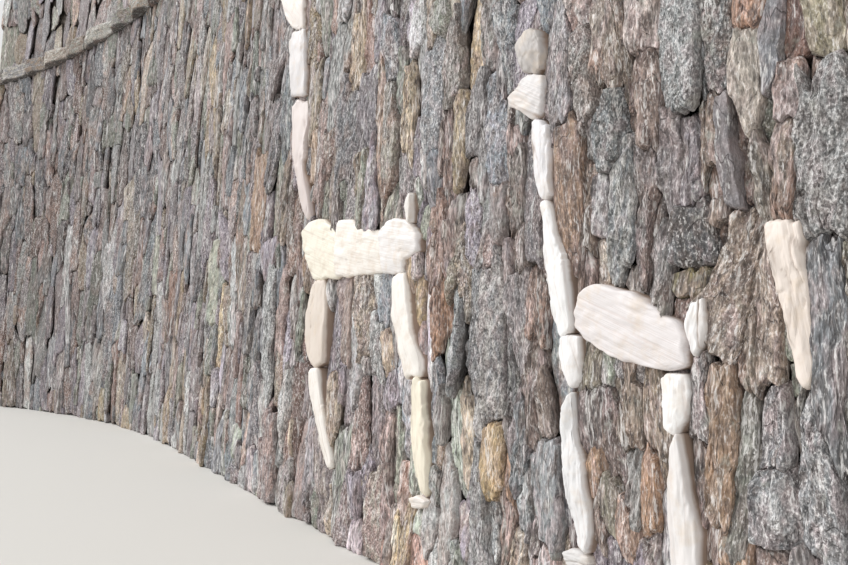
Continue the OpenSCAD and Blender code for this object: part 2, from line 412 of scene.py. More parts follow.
def addPinnings(stones, reach, field, rng):
    # small upright stones wedged in where no stone comes near: at the angle f where a point lies at
    # r (cos f, s sin f) / length from a stone's middle, that stone's reach falls short of r
    spots = rng.uniform(field["low"], field["high"], (field["spots"], 2))
    spots = spots[~insideAny(spots[:, 0], spots[:, 1], field["outlines"])]
    spots = spots[np.argsort(spots[:, 0])]
    sideways, upwards = pinning["apart"]
    chosen = []
    for block in np.array_split(spots, max(1, len(spots) // 1000)):
        left, right = block[0, 0] - pinning["window"], block[-1, 0] + pinning["window"]
        near = np.flatnonzero((stones["p"] > left) & (stones["p"] < right))
        dx, dz = block[:, :1] - stones["p"][near], block[:, 1:] - stones["q"][near]
        place = np.arctan2(dz / field["stretch"], dx) / (2 * np.pi) * angleCount
        short = np.hypot(dx, dz) - reach[near, np.round(place).astype(int) % angleCount]
        for spot in block[(short > field["bare"]).all(1)]:
            away = [abs(spot - other) for other in chosen]
            if all(across > sideways or up > upwards for across, up in away):
                chosen.append(spot)
    if not chosen:
        return stones
    places = np.array(chosen)
    nothing = np.zeros(len(places))
    pinnings = {
        "p": places[:, 0], "q": places[:, 1],
        "halfWidth": nothing + pinning["width"] / 2, "halfHeight": nothing + pinning["height"] / 2,
        "taper": nothing, "slant": nothing, "lean": field["lean"](places[:, 0]), "fixed": nothing - 1,
    }
    return {key: np.concatenate((stones[key], pinnings[key].astype(stones[key].dtype))) for key in stones}


# Stones as closed surfaces

def discGrid(size):
    # square grid folded to a disc: ring = max(|s|, |t|), angle shared evenly along each ring
    s, t = np.meshgrid(np.linspace(-1, 1, size), np.linspace(-1, 1, size), indexing="ij")
    ring = np.maximum(abs(s), abs(t))
    sideways = abs(s) > abs(t)
    angle = np.where(sideways, np.pi / 4 * t / np.where(s == 0, 1, s) + np.where(s < 0, np.pi, 0),
                     np.pi / 2 - np.pi / 4 * s / np.where(t == 0, 1, t) + np.where(t < 0, np.pi, 0))
    return ring.ravel(), np.where(ring == 0, 0, angle).ravel() % (2 * np.pi)


def stoneFaces(size, rings):
    # quads of the grid, bands of quads round the side, and a fan that closes the back
    index = np.arange(size * size).reshape(size, size)
    grid = np.stack((index[:-1, :-1], index[1:, :-1], index[1:, 1:], index[:-1, 1:]), -1).reshape(-1, 4)
    border = np.concatenate((index[:-1, 0], index[-1, :-1], index[:0:-1, -1], index[0, :0:-1]))
    count = len(border)
    quads, before = [grid], border
    for k in range(rings):
        ring = size * size + k * count + np.arange(count)
        quads.append(np.stack((before, ring, np.roll(ring, -1), np.roll(before, -1)), -1))
        before = ring
    pole = size * size + rings * count
    fan = np.stack((before, np.full(count, pole), np.roll(before, -1)), -1)
    return np.concatenate(quads), fan, border, pole + 1


# Relief of a riven stone
relief = {
    "waves": {                # m across and up one wave of each noise
        "bend": (0.05, 0.06),
        "ridge": (0.011, 0.07),
        "step": (0.034, 0.09),
        "crevice": (0.021, 0.12),
        "open": (0.05, 0.09),         # where crevices gape
        "flake": (0.009, 0.016),
        "lump": (0.020, 0.042),
        "swell": (0.06, 0.10),
        "worn": (0.03, 0.05),         # where edges are rounder
        "side": (0.02, 0.04),         # where the side widens more
    },
    "steps": 2.3,             # laminae broken off to each step of the noise
    "creviceWidth": 0.15,
    "soiledCrevice": 0.006,   # m deep from which a crevice is darkest: earth and painted shade
    "ends": (0.013, 0.005),   # m across one wave of the ragged ends, and of the splinters on them
    "sway": [(0.006, 0.07, 0.11), (0.003, 0.021, 0.03)],  # m that joints swing sideways, and the waves
    "rise": (0.008, 0.05, 0.14),      # and up and down
    "furtherBack": 2.2,       # times as wide as at the first ring behind the edge
    "sideCurve": 1.7,
}


def shapeStones(stones, size, rings, pointOf, stretch):
    # front: middle + reach(angle) (1 - (1 - ring)^1.35) direction, raised by
    # proud - cleaved planes + crown (1 - ring^2) + tilt . offset + relief - quarter circle at the
    # edge; the side widens to meet the neighbours inside the joint, and a fan closes the back
    ring, angle = discGrid(size)
    quads, fan, border, perStone = stoneFaces(size, rings)
    ring = 1 - (1 - ring) ** 1.35
    place = angle / (2 * np.pi) * angleCount
    before = np.floor(place).astype(int) % angleCount
    after = (before + 1) % angleCount
    part = place - np.floor(place)
    reach = stones["reach"][:, before] * (1 - part) + stones["reach"][:, after] * part
    way = directions(stretch)
    way = way[before] * (1 - part[:, None]) + way[after] * part[:, None]
    way /= np.linalg.norm(way, axis=1)[:, None]
    p = ring * reach * way[:, 0]
    q = ring * reach * way[:, 1]
    own = {key: value[:, None] for key, value in stones.items() if np.ndim(value) == 1}
    cosine, sine = np.cos(own["lean"]), np.sin(own["lean"])
    across, up = p * cosine + q * sine, q * cosine - p * sine
    ax, uy = across + own["shiftP"] + own["shear"] * up, up + own["shiftQ"]

    # laminae of different lengths: the ends move up or down by noise of the place across
    ragged, splinter = relief["ends"]
    ends = smoothNoise(ax / ragged, 3.1 + 0 * ax) + 0.6 * smoothNoise(ax / splinter, 8.7 + 0 * ax)
    q = q + own["ragged"] * ends * ring ** 3 * np.sign(way[:, 1]) * abs(way[:, 1]) ** 2

    # riven relief: upright ridges, stepped laminae, crevices where noise crosses zero, flakes, broken
    # lumps, swell
    waves = {key: (ax / wide, uy / high) for key, (wide, high) in relief["waves"].items()}
    bend = 0.6 * smoothNoise(waves["bend"][0] + 3, waves["bend"][1])
    ridge = layeredNoise(waves["ridge"][0] + bend, waves["ridge"][1], 3)
    stepped = layeredNoise(waves["step"][0] + bend, waves["step"][1], 2)
    stepped = np.round(stepped * relief["steps"]) / relief["steps"]
    crevice = smoothNoise(waves["crevice"][0] + bend + 70, waves["crevice"][1])
    gaping = np.clip(0.5 + 2 * smoothNoise(waves["open"][0], waves["open"][1] + 50), 0, 1)
    crevice = np.exp(-(crevice / relief["creviceWidth"]) ** 2) * gaping
    flakes = layeredNoise(waves["flake"][0] + 40, waves["flake"][1], 2)
    lumps = abs(layeredNoise(waves["lump"][0] + 11, waves["lump"][1], 2))
    swell = smoothNoise(*waves["swell"])
    raised = own["ridge"] * ridge + own["step"] * stepped - own["crevice"] * crevice \
        + own["flake"] * flakes - own["lump"] * lumps + own["swell"] * swell

    # planes the stone was cleaved along: the front falls back beyond each one's start, by the most
    # of fall (u cos turn + v sin turn - start) over the planes, in half widths
    u, v = across / own["halfWidth"], up / own["halfHeight"]
    cleaved = 0
    for k in range(stones["planeTurn"].shape[1]):
        turn, start, fall = (stones[key][:, k, None] for key in ("planeTurn", "planeStart", "planeFall"))
        cleaved = np.maximum(cleaved, fall * (u * np.cos(turn) + v * np.sin(turn) - start))

    edge = own["edge"] * (1 + 0.6 * smoothNoise(waves["worn"][0] + 9, waves["worn"][1]))
    inset = np.clip((1 - ring) * reach / edge, 0, 1)
    out = own["proud"] - cleaved * own["halfWidth"] + own["crown"] * (1 - ring ** 2) \
        + own["tiltP"] * p + own["tiltQ"] * q + raised - edge * (1 - np.sqrt(1 - (1 - inset) ** 2))
    # hollow: how deep a point lies in a crevice or back in its joint, darkened by the materials with earth
    # and painted shade
    hollow = 0.5 * crevice * np.clip(own["crevice"] / relief["soiledCrevice"], 0, 1)

    # sides and back
    allP, allQ, allOut, allHollow = [p], [q], [out], [hollow]
    rimOut = out[:, border]
    wider = 1 + 0.5 * smoothNoise(*(wave[:, border] for wave in waves["side"]))
    for k in range(rings):
        widen = own["widen"] * wider * (1 if k == 0 else relief["furtherBack"])
        level = rimOut - own["jointDepth"] * (k + 1) ** relief["sideCurve"]
        allP.append(p[:, border] + widen * way[border, 0])
        allQ.append(q[:, border] + widen * way[border, 1])
        allOut.append(level)
        allHollow.append(np.clip((rimOut - level) / own["soiled"], 0, 1))
    allP.append(np.zeros((len(p), 1)))
    allQ.append(np.zeros((len(p), 1)))
    allOut.append(np.minimum(-own["depth"], allOut[-1].min(1, keepdims=True) - 0.01))
    allHollow.append(np.ones((len(p), 1)))
    p, q, out, hollow = (np.concatenate(a, 1) for a in (allP, allQ, allOut, allHollow))

    # joints wander together, because the shift depends on the place alone
    atP, atQ = own["p"] + p, own["q"] + q
    shiftP = sum(swing * smoothNoise(atP / wide, atQ / high) for swing, wide, high in relief["sway"])
    swing, wide, high = relief["rise"]
    shiftQ = swing * smoothNoise(atP / wide + 31, atQ / high)
    points = pointOf(atP + own["wander"] * shiftP, atQ + own["wander"] * shiftQ, out)
    across, up = p * cosine + q * sine, q * cosine - p * sine
    longer = 1 + 1.4 * own["streaky"]
    grain = np.stack((across + own["shiftP"], (up + own["shiftQ"]) / longer, out), -1)
    grain = grain / own["coarse"][:, :, None]
    finish = np.broadcast_arrays(own["granular"], own["rust"], hollow)
    habit = np.stack((stones["streaky"], stones["mottled"], 0 * stones["mottled"]), -1)
    offset = np.arange(len(p))[:, None, None] * perStone
    return {
        "points": points.reshape(-1, 3),
        "quads": (quads[None] + offset).reshape(-1, 4),
        "triangles": (fan[None] + offset).reshape(-1, 3),
        "smooth": stones["smooth"],
        "grain": grain.reshape(-1, 3),
        "tone": np.repeat(stones["tone"], perStone, 0),
        "streak": np.repeat(stones["streak"], perStone, 0),
        "finish": np.stack(finish, -1).reshape(-1, 3),
        "habit": np.repeat(habit, perStone, 0),
    }


def closedTube(points, turned):
    # rows of points round a section, quads from row to row and a fan at each end; turned where the
    # section runs round the other way
    rows, count = points.shape[:2]
    index = np.arange(rows * count).reshape(rows, count)
    around = np.roll(index, -1, 1)
    quads = np.stack((index[:-1], around[:-1], around[1:], index[1:]), -1).reshape(-1, 4)
    first = np.stack((index[0], np.full(count, index.size), around[0]), -1)
    last = np.stack((around[-1], np.full(count, index.size + 1), index[-1]), -1)
    triangles = np.concatenate((first, last))
    return {
        "points": np.concatenate((points.reshape(-1, 3), points[[0, -1]].mean(1))),
        "quads": quads[:, [0, 3, 2, 1]] if turned else quads,
        "triangles": triangles[:, ::-1] if turned else triangles,
        "smooth": False,
    }


# Values that each point carries into the materials: where it lies in the stone's own grain, two
# tones, then granular, rust and hollow (darkened with earth and painted shade), then streaky and mottled
pointValues = ("grain", "tone", "streak", "finish", "habit")


def addPiece(name, surfaces, material, replaced):
    # whole arrays into one mesh: points, corner numbers, where each face starts, and attributes
    before = np.cumsum([0] + [len(s["points"]) for s in surfaces])
    quads = np.concatenate([s["quads"] + k for s, k in zip(surfaces, before)])
    triangles = np.concatenate([s["triangles"] + k for s, k in zip(surfaces, before)])
    smooth = [np.full(len(s[kind]), s["smooth"]) for kind in ("quads", "triangles") for s in surfaces]
    totals = np.concatenate((np.full(len(quads), 4), np.full(len(triangles), 3)))
    corners = np.concatenate((quads.ravel(), triangles.ravel()))
    points = np.concatenate([s["points"] for s in surfaces])
    mesh = bpy.data.meshes.new(name)
    mesh.vertices.add(len(points))
    mesh.vertices.foreach_set("co", points.astype(np.float32).ravel())
    mesh.loops.add(len(corners))
    mesh.loops.foreach_set("vertex_index", corners.astype(np.int32))
    mesh.polygons.add(len(totals))
    mesh.polygons.foreach_set("loop_start", (np.cumsum(totals) - totals).astype(np.int32))
    mesh.polygons.foreach_set("use_smooth", np.concatenate(smooth))
    mesh.update(calc_edges=True)
    for key in pointValues:
        layer = mesh.attributes.new(key, "FLOAT_VECTOR", "POINT")
        values = np.concatenate([s.get(key, 0 * s["points"]) for s in surfaces])
        layer.data.foreach_set("vector", values.astype(np.float32).ravel())
    mesh.materials.append(material)
    piece = bpy.data.objects.new(name, mesh)
    bpy.context.collection.objects.link(piece)
    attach(piece, "root")
    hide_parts(*replaced)
    print(name, 2 * len(quads) + len(triangles), "triangles")
    return piece


# Materials

def addNode(tree, kind, settings=None, inputs=None, take=None):
    # adds a node, sets its settings, sets or links its inputs and gives one output, the first live one
    node = tree.nodes.new(kind)
    for key, value in (settings or {}).items():
        setattr(node, key, value)
    for key, value in (inputs or {}).items():
        if isinstance(value, bpy.types.NodeSocket):
            tree.links.new(value, node.inputs[key])
        elif isinstance(value, str):
            node.inputs[key].default_value = (*linear(value), 1)
        else:
            node.inputs[key].default_value = value
    if take is not None:
        return node.outputs[take]
    return next((o for o in node.outputs if o.enabled), None)


def newMaterial(name):
    material = bpy.data.materials.new(name)
    material.use_nodes = True
    material.node_tree.nodes.clear()
    return material, material.node_tree


# Parts of the values that points carry
valueParts = {
    "granular": ("finish", "X"), "rust": ("finish", "Y"), "hollow": ("finish", "Z"),
    "streaky": ("habit", "X"), "mottled": ("habit", "Y"),
}


def stoneMaterial(name, stone):
    # noises laid on the stone, amounts reckoned from them row by row, then colours laid over the
    # stone's tone by those amounts, and a bump
    material, tree = newMaterial(name)
    value = dict(stone["values"])
    for key in pointValues:
        value[key] = addNode(tree, "ShaderNodeAttribute", {"attribute_name": key}, take="Vector")
    for key, (whole, axis) in valueParts.items():
        value[key] = addNode(tree, "ShaderNodeSeparateXYZ", None, {0: value[whole]}, take=axis)
    value["place"] = addNode(tree, "ShaderNodeTexCoord", take="Object")
    for key, scale, turn in stone["laid"]:
        inputs = {0: value["grain"], "Scale": scale, "Rotation": (0, 0, turn)}
        value[key] = addNode(tree, "ShaderNodeMapping", None, inputs)
    for key, on, wave, detail, roughness, distortion in stone["noises"]:
        inputs = {"Vector": value[on], "Scale": 1 / value.get(wave, wave), "Detail": detail}
        inputs.update({"Roughness": roughness, "Distortion": distortion})
        value[key] = addNode(tree, "ShaderNodeTexNoise", None, inputs)
    if "crystal" in stone:
        inputs = {"Vector": value["leaning"], "Scale": 1 / stone["crystal"]}
        cells = addNode(tree, "ShaderNodeTexVoronoi", None, inputs, take="Color")
        value["crystals"] = addNode(tree, "ShaderNodeSeparateXYZ", None, {0: cells}, take="X")
    for key, way, *inputs in stone["amounts"]:
        inputs = {i: value.get(item, item) for i, item in enumerate(inputs)}
        kind = "ShaderNodeMapRange" if way == "RANGE" else "ShaderNodeMath"
        value[key] = addNode(tree, kind, {} if way == "RANGE" else {"operation": way}, inputs)
    colour = value["tone"]
    for blend, amount, over in stone["layers"]:
        inputs = {0: value.get(amount, amount), 6: colour, 7: value.get(over, over)}
        colour = addNode(tree, "ShaderNodeMix", {"data_type": "RGBA", "blend_type": blend}, inputs)
    strength, distance, height = stone["bump"]
    bump = addNode(tree, "ShaderNodeBump", None, {
        "Strength": strength, "Distance": distance, "Height": value[height]})
    shader = addNode(tree, "ShaderNodeBsdfPrincipled", None, {
        "Roughness": stone["roughness"], "IOR": 1.54, "Base Color": colour, "Normal": bump})
    addNode(tree, "ShaderNodeOutputMaterial", None, {"Surface": shader})
    return material


# Mica schist split by hand: coarse grains on some stones, laminae on edge on others, pink and brown
# where iron weathers, flakes that glint, and earth with painted shade where a stone goes back into its joint
schist = {
    "values": {},
    "laid": [("along", (1, 1 / 3.5, 1), 0.0), ("leaning", (1, 0.7, 1), 0.2)],
    "noises": [               # laid on, m across one wave, detail, roughness, distortion
        ("streaks", "along", 0.022, 3.0, 0.5, 0.6),
        ("laminae", "along", 0.0055, 3.0, 0.6, 0.0),
        ("grains", "leaning", 0.0045, 2.0, 0.7, 0.0),     # mica and quartz, as coarse as they show
        ("clots", "leaning", 0.014, 3.0, 0.65, 0.0),
        ("fractures", "leaning", 0.055, 3.0, 0.5, 0.4),
        ("blotches", "leaning", 0.038, 4.0, 0.6, 0.0),
        ("patches", "grain", 0.08, 4.0, 0.5, 0.0),        # where rust and cracks come
        ("lichens", "place", 0.045, 4.0, 0.65, 0.0),
        ("weather", "place", 1 / 1.4, 2.0, 0.5, 0.0),
    ],
    "crystal": 0.0045 / 0.7,  # m
    # amounts: a range turns a value between two numbers into an amount between the next two, and
    # the other rows reckon with what stands above them
    "amounts": [
        # bands of the two tones, blotches of pink and brown, rust
        ("bands", "RANGE", "streaks", 0.42, 0.58, 0.0, 1.0),
        ("pink", "RANGE", "blotches", 0.50, 0.60, 0.0, 0.55), ("pink", "MULTIPLY", "pink", "mottled"),
        ("brown", "RANGE", "blotches", 0.47, 0.39, 0.0, 0.75), ("brown", "MULTIPLY", "brown", "mottled"),
        ("rusty", "RANGE", "patches", 0.47, 0.60, 0.0, 1.0), ("rusty", "MULTIPLY", "rusty", "rust"),
        # laminae on streaky stones, clots, crystals and flecks, most on granular ones
        ("lines", "RANGE", "laminae", 0.37, 0.63, 0.50, 1.50),
        ("darker", "RANGE", "clots", 0.36, 0.64, 0.50, 1.58),
        ("crystal", "RANGE", "crystals", 0.0, 1.0, 0.72, 1.28),
        ("speckle", "RANGE", "grains", 0.36, 0.64, 0.45, 1.55),
        ("speckle", "MULTIPLY", "speckle", "crystal"),
        ("grainy", "RANGE", "granular", 0.0, 1.0, 0.2, 1.0),
        ("veins", "MULTIPLY", "laminae", "streaks"), ("veins", "RANGE", "veins", 0.31, 0.37, 0.0, 0.65),
        ("glints", "RANGE", "grains", 0.58, 0.64, 0.0, 0.8), ("glints", "MULTIPLY", "glints", "grainy"),
        ("threads", "RANGE", "laminae", 0.42, 0.36, 0.0, 0.6),
        ("threads", "MULTIPLY", "threads", "streaky"),
        # hair cracks where the fracture noise passes its middle
        ("cracks", "SUBTRACT", "fractures", 0.5), ("cracks", "ABSOLUTE", "cracks"),
        ("cracks", "RANGE", "cracks", 0.0, 0.016, 0.55, 0.0),
        ("gaping", "RANGE", "patches", 0.47, 0.56, 0.0, 1.0), ("cracks", "MULTIPLY", "cracks", "gaping"),
        # lichen, weathering, and earth with painted shade where a stone goes back into its joint
        ("spots", "RANGE", "lichens", 0.6, 0.7, 0.0, 0.4),
        ("washed", "RANGE", "weather", 0.3, 0.7, 0.87, 1.13),
        # deep: toward 6E6460 where a stone goes back into its joint, earth and painted shade
        ("deep", "MULTIPLY", "hollow", 0.7),
        # heights: laminae, grains, clots, blotches, less the cracks
        ("fine", "MULTIPLY", "laminae", "streaky"), ("rough", "MULTIPLY", "grains", "grainy"),
        ("heights", "ADD", "fine", "rough"), ("heights", "MULTIPLY_ADD", "clots", 1.5, "heights"),
        ("heights", "ADD", "heights", "blotches"), ("heights", "SUBTRACT", "heights", "cracks"),
    ],
    "layers": [
        ("MIX", "bands", "streak"), ("MIX", "pink", "B5A0A0"), ("MIX", "brown", "82746F"),
        ("MIX", "rusty", "A88A7C"), ("MULTIPLY", "streaky", "lines"), ("MULTIPLY", "mottled", "darker"),
        ("MULTIPLY", "grainy", "speckle"), ("MIX", "veins", "F2F0EE"), ("MIX", "glints", "F2F0EE"),
        ("MIX", "threads", "4E494B"), ("MIX", "cracks", "4E494B"), ("MIX", "spots", "C6C8BE"),
        ("MULTIPLY", 1.0, "washed"), ("MIX", "deep", "6E6460"),
    ],
    "bump": (0.9, 0.006, "heights"),
    "roughness": 0.72,
}

# Milky vein quartz: each stone's own white or cream, iron stain in clouds, fine pinkish cracks along
# it, tan and then dark where it goes back into the joint: stain and earth with painted shade
quartz = {
    "values": {"stained": 0.5, "crack": "D6C0B6", "line": 0.008},
    "laid": [("along", (1, 0.03, 0.4), 0.0)],
    "noises": [
        ("clouds", "grain", 0.05, 4.0, 0.6, 0.0),
        ("lines", "along", "line", 2.0, 0.6, 0.0),
        ("stains", "along", 0.03, 4.0, 0.5, 0.0),
    ],
    "amounts": [
        ("cloudy", "MULTIPLY_ADD", "rust", 0.25, "clouds"),
        ("cloudy", "RANGE", "cloudy", 0.56, 0.78, 0.0, "stained"),
        ("fine", "RANGE", "lines", 0.37, 0.44, 0.20, 0.0),
        # tan, then dark, going back into the joint: stain and earth with painted shade
        ("tan", "ADD", "hollow", "stains"), ("tan", "RANGE", "tan", 0.62, 0.9, 0.0, 0.95),
        ("deep", "RANGE", "hollow", 0.6, 1.0, 0.0, 0.8),
    ],
    "layers": [("MIX", "cloudy", "DFCDB8"), ("MIX", "fine", "crack"), ("MIX", "tan", "9C8676"),
               ("MIX", "deep", "6E6259")],
    "bump": (0.7, 0.003, "lines"),
    "roughness": 0.55,
}
ironStained = {"stained": 0.9, "crack": "BCA894", "line": 0.006}

rubble = {
    "lump": 0.06,             # m
    "grit": 0.008,
    "stones": ("6A6159", "8C837B"),
    "earth": "453D37",
    "earthy": (0.25, 0.6),    # from where to where in a lump earth covers it
    "roughness": 0.92,
}


def packedRubble(name):
    # small stones and earth packed between the faces: lumps of a few centimetres in dark earth
    material, tree = newMaterial(name)
    place = addNode(tree, "ShaderNodeTexCoord", take="Object")
    lump = {"Vector": place, "Scale": 1 / rubble["lump"]}
    lumps = addNode(tree, "ShaderNodeTexVoronoi", None, lump, take="Distance")
    stone = addNode(tree, "ShaderNodeTexVoronoi", None, lump, take="Color")
    grit = {"Vector": place, "Scale": 1 / rubble["grit"], "Detail": 3.0}
    grit = addNode(tree, "ShaderNodeTexNoise", None, grit)
    shade = addNode(tree, "ShaderNodeSeparateXYZ", None, {0: stone}, take="X")
    dark, light = rubble["stones"]
    colour = addNode(tree, "ShaderNodeMix", {"data_type": "RGBA"}, {0: shade, 6: dark, 7: light})
    first, last = rubble["earthy"]
    edge = addNode(tree, "ShaderNodeMapRange", None, {"Value": lumps, 1: first, 2: last})
    colour = addNode(tree, "ShaderNodeMix", {"data_type": "RGBA"}, {0: edge, 6: colour, 7: rubble["earth"]})
    heights = addNode(tree, "ShaderNodeMath", {"operation": "SUBTRACT"}, {0: grit, 1: lumps})
    bump = addNode(tree, "ShaderNodeBump", None, {"Strength": 0.8, "Distance": 0.012, "Height": heights})
    shader = addNode(tree, "ShaderNodeBsdfPrincipled", None, {
        "Roughness": rubble["roughness"], "Base Color": colour, "Normal": bump})
    addNode(tree, "ShaderNodeOutputMaterial", None, {"Surface": shader})
    return material


schistMaterial = stoneMaterial("riven mica schist", schist)
whiteMaterial = stoneMaterial("milky vein quartz", quartz)
creamMaterial = stoneMaterial("iron stained vein quartz", dict(quartz, values=ironStained))
rubbleMaterial = packedRubble("packed earth and rubble")
print("materials made")

# Weathered schist, from cool to warm: slate, blue grey, silver, greenish grey, violet grey, brown
# grey, pinkish brown, cream, ochre, rust
facing = {
    "tones": [
        "7F8085", "9BA4AC", "C6C8C7", "A6AD9F", "A9A1AC", "9F9698", "AB958F", "C0B19E", "BCA888", "A58376"],
    "shares": [0.08, 0.11, 0.15, 0.12, 0.14, 0.13, 0.12, 0.08, 0.04, 0.03],
    "lightness": lambda p, q: -0.26 + 0 * p,   # natural logarithm of how light the stones are
    "placedLightness": 0.11,  # more for a placed stone, whose tone is what shows in even light
    "stoneWidth": 0.080,
    "stoneHeight": 0.28,
    "stretch": 3.6,
    "variety": 0.48,
    "growth": lambda p: 1 + 0 * p,
    "grainy": lambda p: 0.35 + 0 * p,   # share of granular stones
    "rough": lambda p: 0.9 + 0 * p,     # how far stones stand out and fall back
    "coarse": lambda p: 1.3 + 0 * p,    # pattern size over its real size, so that it shows far off
    "wander": lambda p: 0.8 + 0 * p,    # how far the joints swing to and fro
    "joint": 0.0015,
    "bare": 0.0065,           # m from every stone where a pinning goes in
    "spots": 140000,
    "lean": lambda p: np.radians(3 + 0 * p),
    "sunk": 0.06,             # share of stones that lie back in the face
    "placed": [],
    "outlines": [],
}

